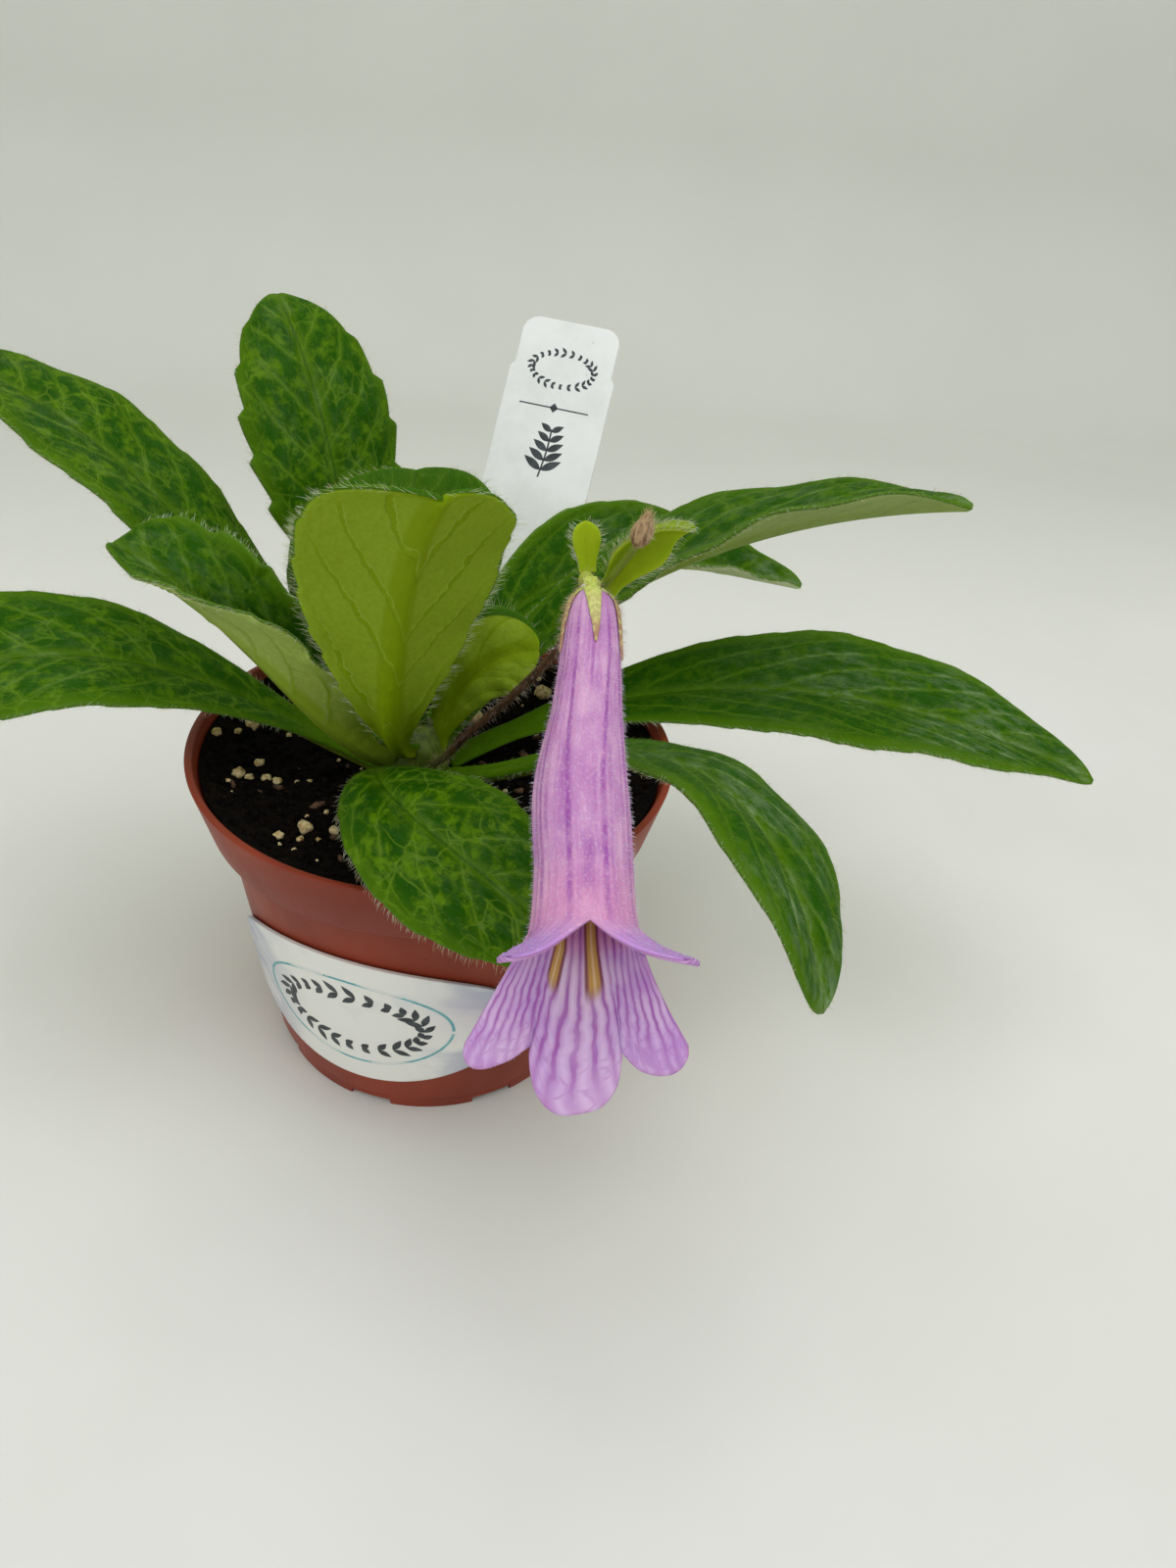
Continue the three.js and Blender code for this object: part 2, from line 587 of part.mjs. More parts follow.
// Corolla: tube, fused lower lip with three round lobes and two short upper lobes
function makeCorolla() {
  const points = [];
  const faces = [];
  const push = (p) => points.push(p) - 1;
  const ringAngle = (k) => rad(-90 - LIP_HALF_ANGLE + (360 * k) / AROUND);
  const rows = TUBE_RADII.length;
  const ring = [];
  for (let i = 0; i < rows; i += 1) {
    const share = i / (rows - 1);
    for (let k = 0; k < AROUND; k += 1) {
      const radius = tubeRadius(share);
      push(inFlower(share * tubeLength, radius * Math.cos(ringAngle(k)), radius * Math.sin(ringAngle(k))));
    }
  }
  for (let i = 0; i < rows - 1; i += 1) {
    for (let k = 0; k < AROUND; k += 1) {
      const a = i * AROUND + k;
      const b = i * AROUND + ((k + 1) % AROUND);
      faces.push([a, a + AROUND, b + AROUND], [a, b + AROUND, b]);
    }
  }
  for (let k = 0; k < AROUND; k += 1) {
    ring.push((rows - 1) * AROUND + k);
  }
  const stitch = (from, to) => {
    for (let k = 0; k < from.length - 1; k += 1) {
      faces.push([from[k], to[k], to[k + 1]], [from[k], to[k + 1], from[k + 1]]);
    }
  };

  // The lower lip opens flatter and wider as it goes forward
  const lipColumns = 3 * LOBE_COLUMNS;
  const mouth = tubeRadius(1);
  let row = ring.slice(0, lipColumns + 1);
  for (let i = 1; i <= LIP_ROWS; i += 1) {
    const b = i / LIP_ROWS;
    const bend = lerp(mouth, LIP_END_BEND, b);
    const halfAngle = rad(lerp(LIP_HALF_ANGLE, LIP_END_HALF_ANGLE, b));
    const next = [];
    for (let k = 0; k <= lipColumns; k += 1) {
      const angle = halfAngle * ((2 * k) / lipColumns - 1);
      next.push(push(inFlower(tubeLength + LIP_LENGTH * b * (0.5 + 0.5 * Math.cos(angle)),
        bend * Math.sin(angle), -mouth - LIP_DROOP * b * b + bend * (1 - Math.cos(angle)))));
    }
    stitch(row, next);
    row = next;
  }

  // Each lobe runs on from its share of an edge, widens a little and ends round
  const addLobe = (base, direction, length, swell, droop) => {
    const root = points[base[LOBE_COLUMNS / 2]];
    const across = points[base[LOBE_COLUMNS]].clone().sub(points[base[0]]);
    const half = across.length() / 2;
    across.addScaledVector(direction, -across.dot(direction)).normalize();
    const normal = direction.clone().cross(across);
    let from = base;
    for (let i = 1; i <= LOBE_ROWS; i += 1) {
      const b = Math.sin((Math.PI / 2) * (i / LOBE_ROWS));
      const width = Math.max(half * (1 + swell * Math.sin(Math.PI * b)) * (1 - b ** 3) ** 0.5,
        LOBE_END_HALF);
      const next = base.map((index, k) => {
        const a = (2 * k) / LOBE_COLUMNS - 1;
        const flat = root.clone().addScaledVector(across, half * a);
        const lag = points[index].clone().sub(flat).multiplyScalar((1 - b) ** 1.5);
        return push(root.clone().addScaledVector(across, width * a).add(lag)
          .addScaledVector(direction, length * (b - 0.12 * a * a * b))
          .addScaledVector(normal, -droop * b * b));
      });
      stitch(from, next);
      from = next;
    }
  };
  for (const side of [-1, 0, 1]) {
    const turn = rad(SIDE_LOBE_SPREAD * side);
    const direction = forward.clone().multiplyScalar(Math.cos(turn))
      .addScaledVector(lateral, Math.sin(turn)).normalize();
    const first = (side + 1) * LOBE_COLUMNS;
    addLobe(row.slice(first, first + LOBE_COLUMNS + 1), direction,
      side === 0 ? MIDDLE_LOBE_LENGTH : SIDE_LOBE_LENGTH, LOWER_LOBE_SWELL, LOWER_LOBE_DROOP);
  }
  for (const side of [-1, 1]) {
    const first = lipColumns + (side < 0 ? 0 : LOBE_COLUMNS);
    const base = [0, 1, 2, 3, 4].map((k) => ring[(first + k) % AROUND]);
    const angle = rad(90 + side * UPPER_LOBE_BEARING);
    const outward = lateral.clone().multiplyScalar(Math.cos(angle)).addScaledVector(dorsal, Math.sin(angle));
    const flare = rad(UPPER_LOBE_FLARE);
    const direction = forward.clone().multiplyScalar(Math.cos(flare))
      .addScaledVector(outward, Math.sin(flare)).normalize();
    addLobe(base, direction, UPPER_LOBE_LENGTH, UPPER_LOBE_SWELL, 0);
  }
  return thicken(points, faces, () => PETAL / 2, () => PETAL / 2);
}

// Calyx: a shallow cup behind the tube with five narrow pointed sepals along it
function makeCalyx() {
  const points = [];
  const faces = [];
  const radiusAt = (along) => tubeRadius(along / tubeLength) + PETAL / 2 + CLEARANCE + CALYX_GAP;
  const [pole, ...back] = CUP_BACK;
  const cup = [...back, ...CUP_FRONT.map((along) => [along, radiusAt(along)])];
  const columns = SEPAL_LENGTHS.length * 2;
  points.push(inFlower(pole[0], 0, 0));
  for (const [along, radius] of cup) {
    for (let k = 0; k < columns; k += 1) {
      const angle = rad(90 + (360 * (k - 1)) / columns);
      points.push(inFlower(along, radius * Math.cos(angle), radius * Math.sin(angle)));
    }
  }
  for (let k = 0; k < columns; k += 1) {
    const next = (k + 1) % columns;
    faces.push([0, 1 + k, 1 + next]);
    for (let i = 0; i < cup.length - 1; i += 1) {
      const a = 1 + i * columns + k;
      const b = 1 + i * columns + next;
      faces.push([a, a + columns, b + columns], [a, b + columns, b]);
    }
  }
  const brim = 1 + (cup.length - 1) * columns;
  SEPAL_LENGTHS.forEach((length, s) => {
    const middle = rad(90 + (360 * 2 * s) / columns);
    let from = [0, 1, 2].map((k) => brim + ((2 * s + k) % columns));
    for (const share of SEPAL_SHARES) {
      const along = lerp(CUP_FRONT[1], length, share);
      const radius = radiusAt(along);
      const half = lerp(SEPAL_HALF, SEPAL_TIP_HALF, share) / radius;
      const next = [-1, 0, 1].map((a) => points.push(inFlower(along, radius * Math.cos(middle + a * half),
        radius * Math.sin(middle + a * half))) - 1);
      for (let k = 0; k < 2; k += 1) {
        faces.push([from[k], next[k], next[k + 1]], [from[k], next[k + 1], from[k + 1]]);
      }
      from = next;
    }
  });
  return thicken(points, faces, () => CALYX_WALL / 2, () => CALYX_WALL / 2);
}

// Side bud: a thin stalk that swells into a round bud
function makeBud() {
  const radiusAt = (t) => {
    const inBud = clamp((t - BUD_START) / (1 - BUD_START), 0, 1);
    return BUD_STALK_RADIUS * (1 - 0.4 * inBud) + BUD_SWELL * Math.sin(Math.PI * inBud ** 0.8);
  };
  return stem(BUD_PATH.map(vec), radiusAt, 20, 8);
}

// Pistil: ovary in the calyx, style and a blunt stigma
function makePistil() {
  const radiusAt = (t) => (t < 0.25 || t > 0.96 ? OVARY_RADIUS : STYLE_RADIUS);
  return stem(PISTIL_PATH.map((place) => inFlower(...place)), radiusAt, 24, 8);
}

// Stamens: two filaments from the floor of the tube that lean together at their anthers
function makeStamens() {
  const filaments = [-1, 1].map((side) => {
    const path = FILAMENT_PATH.map(([along, aside, up]) => inFlower(along, side * aside, up));
    return toSolid(stem(path, () => FILAMENT_RADIUS, 14, 6));
  });
  const anthers = new THREE.SphereGeometry(1, 10, 6);
  anthers.scale(...ANTHERS_SIZE);
  anthers.applyMatrix4(new THREE.Matrix4().makeBasis(lateral, forward, dorsal.clone().negate()));
  anthers.translate(...inFlower(...ANTHERS_AT).toArray());
  return toGeometry(wasm.Manifold.union([...filaments, toSolid(anthers)]));
}

// Tag outline from the point up, with two stubs at the shoulders and rounded top corners
function makeTag(grow = 0) {
  const outline = new THREE.Shape();
  const half = TAG_HALF + grow;
  const stub = TAG_HALF + TAG_STUB + grow;
  const top = TAG_TOP + grow;
  outline.moveTo(-TAG_POINT_HALF - grow, TAG_POINT - grow);
  outline.lineTo(TAG_POINT_HALF + grow, TAG_POINT - grow);
  outline.lineTo(TAG_NECK_HALF + grow, TAG_NECK);
  outline.lineTo(stub, TAG_TAPER);
  outline.lineTo(stub, TAG_SHOULDER);
  outline.lineTo(half, TAG_SHOULDER + 1);
  outline.lineTo(half, top - TAG_CORNER);
  outline.quadraticCurveTo(half, top, half - TAG_CORNER, top);
  outline.lineTo(TAG_CORNER - half, top);
  outline.quadraticCurveTo(-half, top, -half, top - TAG_CORNER);
  outline.lineTo(-half, TAG_SHOULDER + 1);
  outline.lineTo(-stub, TAG_SHOULDER);
  outline.lineTo(-stub, TAG_TAPER);
  outline.lineTo(-TAG_NECK_HALF - grow, TAG_NECK);
  outline.closePath();
  const depth = TAG_THICKNESS + 2 * grow;
  const geometry = new THREE.ExtrudeGeometry(outline, { depth, bevelEnabled: false, curveSegments: 5 });
  geometry.translate(0, 0, -depth / 2);
  geometry.rotateX(Math.PI / 2);
  geometry.rotateY(rad(TAG_LEAN_SIDE));
  geometry.rotateX(-rad(TAG_LEAN_BACK));
  geometry.rotateZ(-rad(TAG_TURN));
  return geometry.translate(...TAG_FOOT);
}

// Radius of the pot's body outside at a height
function bodyRadius(height) {
  const share = (height - LEDGE_HEIGHT - EDGE) / (bandFoot - LEDGE_HEIGHT - EDGE);
  return lerp(BODY_FOOT_RADIUS, BODY_TOP_RADIUS, share);
}

// Label: an oval of the cone that the body is
function makeLabel() {
  const points = [];
  for (let i = 0; i <= 2; i += 1) {
    for (let k = 0; k <= LABEL_COLUMNS; k += 1) {
      const swing = Math.PI * (k / LABEL_COLUMNS);
      const angle = rad(LABEL_BEARING - LABEL_HALF_ANGLE * Math.cos(swing));
      const reach = LABEL_HALF_HEIGHT * Math.max(Math.sin(swing), LABEL_END_SHARE);
      const height = LABEL_MIDDLE + reach * (i - 1);
      const radius = bodyRadius(height) + CLEARANCE + LABEL_THICKNESS / 2;
      points.push(vec([radius * Math.cos(angle), radius * Math.sin(angle), height]));
    }
  }
  return thicken(points, gridFaces(3, LABEL_COLUMNS + 1), () => LABEL_THICKNESS / 2,
    () => LABEL_THICKNESS / 2);
}

// Soil: fills the pot inside, with a rippled top, grains sunk in it and holes for crown and tag
function soilHeight(x, y) {
  const reach = Math.hypot(x, y);
  const share = clamp((reach - SOIL_BANK_START) / (SOIL_BANK_END - SOIL_BANK_START), 0, 1);
  const bank = (SOIL_EDGE - SOIL_TOP) * share ** SOIL_BANK_POWER;
  const ripple = SOIL_RIPPLE * Math.sin(0.9 * x + 0.4 * y) * Math.cos(0.7 * y - 0.35 * x);
  const nearCrown = Math.hypot(x - CROWN[0], y - CROWN[1]) / SOIL_DIP_RADIUS;
  return SOIL_TOP + bank + ripple * (1 - share) - SOIL_DIP * Math.exp(-nearCrown * nearCrown);
}

function makeSoil(holes) {
  const bandSlope = (RIM_RADIUS - BAND_FOOT_RADIUS) / (POT_HEIGHT - bandFoot - WALL);
  const edge = BAND_FOOT_RADIUS - WALL + (SOIL_EDGE - bandFoot - WALL) * bandSlope - SOIL_EDGE_GAP;
  const profile = [
    [0, FLOOR_TOP + CLEARANCE],
    [innerFoot - 2 * CLEARANCE, FLOOR_TOP + CLEARANCE],
    [BODY_TOP_RADIUS - WALL - 2 * CLEARANCE, bandFoot],
    [BAND_FOOT_RADIUS - WALL - 2 * CLEARANCE, bandFoot + WALL],
    [edge, SOIL_EDGE],
  ];
  for (let k = SOIL_RINGS - 1; k >= 0; k -= 1) {
    profile.push([(edge * k) / SOIL_RINGS, SOIL_EDGE]);
  }
  const block = turned(profile, SOIL_SIDES);
  const place = block.attributes.position;
  for (let k = 0; k < place.count; k += 1) {
    if (place.getZ(k) > SOIL_EDGE - 0.01 && Math.hypot(place.getX(k), place.getY(k)) < edge - 0.01) {
      place.setZ(k, soilHeight(place.getX(k), place.getY(k)));
    }
  }
  const random = makeRandom(SCATTER_SEED);
  const grains = GRAINS.map((grain) => [...grain]);
  while (grains.length < GRAINS.length + SCATTERED_GRAINS) {
    const reach = SCATTER_RADIUS * Math.sqrt(random());
    const angle = 2 * Math.PI * random();
    const size = lerp(...GRAIN_SIZES, random());
    const [x, y] = [reach * Math.cos(angle), reach * Math.sin(angle)];
    const clear = grains.every(([gx, gy, gs]) => Math.hypot(x - gx, y - gy) > size + gs + CLEARANCE);
    if (clear && Math.hypot(x - CROWN[0], y - CROWN[1]) > SOIL_DIP_RADIUS) {
      grains.push([x, y, size]);
    }
  }
  const lumps = grains.map(([x, y, size]) => {
    const grain = new THREE.IcosahedronGeometry(size, 0);
    grain.scale(1, 0.85, 0.7);
    grain.rotateZ(2 * Math.PI * random());
    grain.translate(x, y, soilHeight(x, y) + 0.15 * size);
    return toSolid(grain);
  });
  const body = wasm.Manifold.union([toSolid(block), ...lumps]);
  return toGeometry(largest(body.subtract(wasm.Manifold.union(holes))));
}

// The biggest connected piece of a solid
function largest(solid) {
  const pieces = solid.decompose();
  return pieces.reduce((best, piece) => (piece.volume() > best.volume() ? piece : best));
}

const plant = new THREE.Group();

function add(name, geometry, colour, roughness) {
  const mesh = new THREE.Mesh(geometry, new THREE.MeshStandardMaterial({ color: colour, roughness,
    metalness: 0 }));
  mesh.name = name;
  plant.add(mesh);
}

const grownFrom = Object.values(LEAVES).map((leaf) => toSolid(makeLeaf(leaf, CLEARANCE)));
grownFrom.push(toSolid(makeStalk(CLEARANCE)));

add('pot', makePot(), COLOURS.pot, 0.45);
add('soil', makeSoil([makeCrown(CLEARANCE), toSolid(makeTag(CLEARANCE))]), COLOURS.soil, 0.95);
add('crown', toGeometry(largest(makeCrown().subtract(wasm.Manifold.union(grownFrom)))), COLOURS.crown, 0.6);
for (const [name, leaf] of Object.entries(LEAVES)) {
  const young = name.includes('young') || name.includes('small');
  add(name, makeLeaf(leaf), young ? COLOURS.young : COLOURS.leaf, 0.5);
}
add('flower_stalk', makeStalk(), COLOURS.stalk, 0.7);
for (const [name, bract] of Object.entries(BRACTS)) {
  add(name, makeLeaf(bract), COLOURS.bract, 0.6);
}
add('side_bud', makeBud(), COLOURS.bract, 0.6);
add('calyx', makeCalyx(), COLOURS.calyx, 0.6);
add('corolla', makeCorolla(), COLOURS.corolla, 0.5);
add('pistil', makePistil(), COLOURS.pistil, 0.5);
add('stamens', makeStamens(), COLOURS.stamens, 0.5);
add('plant_tag', makeTag(), COLOURS.tag, 0.35);
add('pot_label', makeLabel(), COLOURS.label, 0.4);

export default plant;
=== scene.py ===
import math
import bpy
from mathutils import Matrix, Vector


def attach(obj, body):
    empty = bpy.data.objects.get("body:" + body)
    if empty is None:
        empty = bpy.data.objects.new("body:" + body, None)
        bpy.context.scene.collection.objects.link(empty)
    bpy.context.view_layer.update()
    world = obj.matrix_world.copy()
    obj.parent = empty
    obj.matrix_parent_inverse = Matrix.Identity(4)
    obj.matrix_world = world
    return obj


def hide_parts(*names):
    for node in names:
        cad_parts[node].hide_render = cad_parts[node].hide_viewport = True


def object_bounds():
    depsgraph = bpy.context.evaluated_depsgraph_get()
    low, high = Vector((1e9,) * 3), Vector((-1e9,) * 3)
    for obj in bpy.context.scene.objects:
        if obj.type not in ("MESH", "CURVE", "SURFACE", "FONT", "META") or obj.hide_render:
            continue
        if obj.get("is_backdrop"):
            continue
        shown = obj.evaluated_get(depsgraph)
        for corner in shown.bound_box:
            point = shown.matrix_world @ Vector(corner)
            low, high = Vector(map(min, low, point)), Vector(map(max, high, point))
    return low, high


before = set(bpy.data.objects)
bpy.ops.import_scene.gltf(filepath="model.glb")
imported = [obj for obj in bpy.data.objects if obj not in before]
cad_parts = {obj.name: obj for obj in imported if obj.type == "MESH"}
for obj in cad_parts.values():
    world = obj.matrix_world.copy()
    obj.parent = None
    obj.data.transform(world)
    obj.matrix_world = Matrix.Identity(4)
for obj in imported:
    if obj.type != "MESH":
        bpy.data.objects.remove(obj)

from types import SimpleNamespace

import bmesh
import bpy
import numpy as np
from mathutils import Matrix, Vector, noise

cad_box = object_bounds()

# ---- View ---------------------------------------------------------------------------------
# The plant seen from the front and above, by a wide lens held close and a little rolled.
# Turn, tilt and roll are in degrees; the eye is in metres from the middle of the pot's foot.
turn, tilt, roll = (math.radians(angle) for angle in (9.028, 34.59, 5.71))
eye = Vector((0, -0.158118, 0.158156))
sight = Vector((math.sin(turn) * math.cos(tilt), math.cos(turn) * math.cos(tilt), -math.sin(tilt)))


def placed(name, data):
    """Puts a mesh, a lamp or a camera into the scene."""
    piece = bpy.data.objects.new(name, data)
    bpy.context.scene.collection.objects.link(piece)
    return piece


level_right = Vector((math.cos(turn), -math.sin(turn), 0))
level_up = level_right.cross(sight)
right = math.cos(roll) * level_right + math.sin(roll) * level_up
up = math.cos(roll) * level_up - math.sin(roll) * level_right
camera = placed("camera", bpy.data.cameras.new("camera"))
camera.data.lens = 27.045
camera.data.clip_start = 0.01
camera.matrix_world = Matrix.Translation(eye) @ Matrix((right, up, -sight)).transposed().to_4x4()
bpy.context.scene.camera = camera
bpy.context.scene.view_settings.view_transform = "Standard"

# ---- Pot ----------------------------------------------------------------------------------
# A thin nursery pot, moulded in red-brown plastic: a tall rim band, a tapered body with a
# ledge near its foot, six drain holes and eight feet. Sizes are in millimetres from here on.
POT_OUTLINE = [  # radius, height and how far the corner is rounded
    [0, 0, 0], [9, 0, 0.3], [10, 1.4, 0.3], [23.7, 1.4, 0.3], [23.7, 0, 0.3], [26.4, 0, 0.3],
    [26.7, 3, 0.3], [27.3, 3.3, 0.3], [33, 45.5, 0.4], [35.3, 45.8, 0.5], [38, 55.9, 0.45],
    [36.8, 55.9, 0.45], [34.1, 46.7, 0.6], [31.8, 45.5, 0.6], [26.1, 2.7, 0.6], [0, 2.7, 0],
]
DRAINS, DRAIN_RADIUS, DRAIN_PLACE = 6, 3.4, 17
FEET, FOOT_GAP, FOOT_PLACE = 8, (12, 7, 2.6), 25.8


def circle(count):
    """Evenly spaced angles round a full turn."""
    return np.linspace(0, 2 * math.pi, count, endpoint=False)


def ring(radius, height, turns, middle=(0, 0)):
    """Points round a level circle."""
    return np.stack([middle[0] + radius * np.cos(turns), middle[1] + radius * np.sin(turns),
                     height + 0 * turns], 1)


def lofted(rings, closed_ends=True):
    """Points and faces of a skin through rings, with a point in the middle of each end."""
    rings = np.asarray(rings, float)
    count, around = rings.shape[:2]
    a = (np.arange(count - 1)[:, None] * around + np.arange(around)).ravel()
    b = (np.arange(count - 1)[:, None] * around + (np.arange(around) + 1) % around).ravel()
    faces = np.stack([a, b, b + around, a + around], 1).tolist()
    points = rings.reshape(-1, 3)
    if closed_ends:
        last = (count - 1) * around
        points = np.vstack([points, rings[0].mean(0), rings[-1].mean(0)])
        for k in range(around):
            after = (k + 1) % around
            faces.append([after, k, len(points) - 2])
            faces.append([last + k, last + after, len(points) - 1])
    return points, faces


def mesh_of(name, points, faces):
    """A mesh from points in millimetres."""
    mesh = bpy.data.meshes.new(name)
    mesh.from_pydata((np.asarray(points, float) / 1000).tolist(), [], faces)
    return mesh


def made(name, form, finish, fields=None, sharp=None, node=None, slot=None):
    """Makes a piece of a form. fields are numbers or vectors kept on its points."""
    points, faces = form
    mesh = mesh_of(name, points, faces)
    triangles = np.array([[f[0], f[k], f[k + 1]] for f in faces for k in range(1, len(f) - 1)])
    p = np.asarray(points, float)[triangles]
    if np.einsum("ij,ij->i", p[:, 0], np.cross(p[:, 1], p[:, 2])).sum() < 0:
        mesh.flip_normals()
    for key, values in (fields or {}).items():
        values = np.asarray(values, np.float32)
        kind, socket = ("FLOAT", "value") if values.ndim == 1 else ("FLOAT_VECTOR", "vector")
        mesh.attributes.new(key, kind, "POINT").data.foreach_set(socket, values.ravel())
    return dressed(placed(name, mesh), finish, sharp, node, slot)


def dressed(piece, finish=None, sharp=None, node=None, slot=None):
    """Finishes and smooths a piece, hangs it on the root and hides the model part it replaces."""
    if finish:
        piece.data.materials.clear()
        piece.data.materials.append(finish.material)
    piece.data.polygons.foreach_set("use_smooth", [True] * len(piece.data.polygons))
    if sharp:
        piece.data.set_sharp_from_angle(angle=math.radians(sharp))
    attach(piece, "root")
    if node:
        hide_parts(node)
    return piece


def baked(piece):
    """Works a piece's modifiers into its mesh and takes them away."""
    graph = bpy.context.evaluated_depsgraph_get()
    mesh = bpy.data.meshes.new_from_object(piece.evaluated_get(graph), depsgraph=graph)
    piece.modifiers.clear()
    piece.data = mesh


class Nodes:
    """A tree of nodes, written down node by node."""

    def add(self, kind, inputs, output=0, **settings):
        """Adds a node, feeds its inputs and gives back one of its outputs."""
        node = self.tree.nodes.new(kind)
        for key, value in settings.items():
            setattr(node, key, value)
        for key, value in inputs.items():
            self.feed(node.inputs[key], value)
        return node.outputs[output]

    def feed(self, socket, value):
        """Wires a socket to another, or gives it a plain value."""
        value = value.socket if isinstance(value, Shade) else value
        if isinstance(value, bpy.types.NodeSocket):
            self.tree.links.new(value, socket)
        else:
            socket.default_value = value


class Shade:
    """A number on its way through a finish's nodes, that sums can be written with."""

    def __init__(self, finish, socket):
        self.finish, self.socket = finish, socket

    def sum(self, operation, *others):
        inputs = dict(enumerate((self, *others)))
        return Shade(self.finish, self.finish.add("ShaderNodeMath", inputs, operation=operation))

    def __add__(self, other): return self.sum("ADD", other)
    def __sub__(self, other): return self.sum("SUBTRACT", other)
    def __mul__(self, other): return self.sum("MULTIPLY", other)
    def __truediv__(self, other): return self.sum("DIVIDE", other)
    def __rsub__(self, other): return self.sum("MULTIPLY", -1).sum("ADD", other)
    def __abs__(self): return self.sum("ABSOLUTE")
    __radd__, __rmul__ = __add__, __mul__

    def sine(self): return self.sum("SINE")
    def to_line(self): return abs((self + 0.5).sum("FRACT") - 0.5)
    def largest(self, other): return self.sum("MAXIMUM", other)

    def rise(self, low, high):
        """0 below low, 1 above high and smooth between; the other way round if low is above."""
        return Shade(self.finish, self.finish.add("ShaderNodeMapRange", {
            "Value": self, "From Min": min(low, high), "From Max": max(low, high),
            "To Min": float(low > high), "To Max": float(low <= high)},
            interpolation_type="SMOOTHSTEP"))


class Finish(Nodes):
    """A material. Lengths in its patterns are millimetres; a colour is a socket, or red, green
    and blue as read off a screen."""

    def __init__(self, name, rough, shine=0.5, glow=0, depth=1):
        self.material = bpy.data.materials.new(name)
        self.material.use_nodes = True
        self.tree = self.material.node_tree
        self.shader = self.tree.nodes["Principled BSDF"]
        self.place = self.add("ShaderNodeTexCoord", {}, "Object")
        self.set("Roughness", rough)
        self.set("Specular IOR Level", shine)
        self.set("Subsurface Weight", glow)
        self.set("Subsurface Scale", depth / 1000)

    def set(self, key, value):
        self.feed(self.shader.inputs[key], value)

    def field(self, name):
        return Shade(self, self.add("ShaderNodeAttribute", {}, "Fac", attribute_name=name))

    def chart(self, name):
        """A surface's own coordinates, kept on its points."""
        return self.add("ShaderNodeAttribute", {}, "Vector", attribute_name=name)

    def stretched(self, scale, along=None):
        return self.add("ShaderNodeMapping", {"Vector": along or self.place, "Scale": scale})

    def noise(self, size, detail=3, rough=0.5, along=None, bend=0, output="Fac"):
        return Shade(self, self.add("ShaderNodeTexNoise", {
            "Vector": along or self.place, "Scale": 1000 / size, "Detail": detail,
            "Roughness": rough, "Distortion": bend}, output))

    def cells(self, size, along, feature="DISTANCE_TO_EDGE"):
        inputs = {"Vector": along, "Scale": 1000 / size}
        return Shade(self, self.add("ShaderNodeTexVoronoi", inputs, "Distance", feature=feature))

    def bent(self, along, size, by):
        """A surface's own coordinates pushed about by up to so many millimetres."""
        push = self.noise(size, 2, along=along, output="Color")
        for operation, inputs in (("SUBTRACT", {1: (0.5, 0.5, 0.5)}),
                                  ("SCALE", {"Scale": by / 500}), ("ADD", {1: along})):
            push = self.add("ShaderNodeVectorMath", {0: push, **inputs}, operation=operation)
        return push

    def mix(self, first, second, share):
        first, second = (paint(c) if isinstance(c, tuple) else c for c in (first, second))
        return self.add("ShaderNodeMix", {0: share, 6: first, 7: second}, 2, data_type="RGBA")

    def coat(self, colour, share=None):
        """Lays a colour over those before it; share is how much of it shows, from 0 to 1."""
        self.colour = colour if share is None else self.mix(self.colour, colour, share)
        if share is not None:
            self.set("Base Color", self.colour)

    def relief(self, height, depth, strength=1.0):
        self.set("Normal", self.add("ShaderNodeBump", {
            "Height": height, "Distance": depth / 1000, "Strength": strength}))


def paint(colour):
    """Red, green and blue as read off a screen, made ready for a shader."""
    return tuple(((c / 255 + 0.055) / 1.055) ** 2.4 if c > 10 else c / 3294.6
                 for c in colour) + (1,)


def rounded(outline, steps=3):
    """The outline with its corners drawn as short curves."""
    points = []
    for k, (radius, height, round_off) in enumerate(outline):
        here = np.array([radius, height])
        if round_off == 0:
            points.append(here)
            continue
        ways = [np.array(outline[k + d][:2]) - here for d in (-1, 1)]
        ends = [here + w * min(round_off / np.linalg.norm(w), 0.45) for w in ways]
        for s in np.linspace(0, 1, steps + 1):
            points.append((1 - s) ** 2 * ends[0] + 2 * s * (1 - s) * here + s * s * ends[1])
    return np.array(points)


plastic = Finish("pot_plastic", 0.42, 0.2)
plastic.coat((146, 60, 38))
plastic.coat((122, 47, 30), plastic.noise(26, 3).rise(0.35, 0.7))
plastic.coat((172, 104, 80), plastic.noise(1.4, 4, 0.65).rise(0.66, 0.8) * 0.2)
plastic.coat((66, 30, 22), plastic.noise(0.9, 2).rise(0.72, 0.78) * 0.6)
rubbed = plastic.noise(3, 4, 0.6, plastic.stretched((1, 1, 0.12)))
plastic.set("Roughness", rubbed * 0.22 + 0.32)
plastic.relief(rubbed * 0.5 + plastic.noise(0.5, 2) * 0.35, 0.05, 0.6)

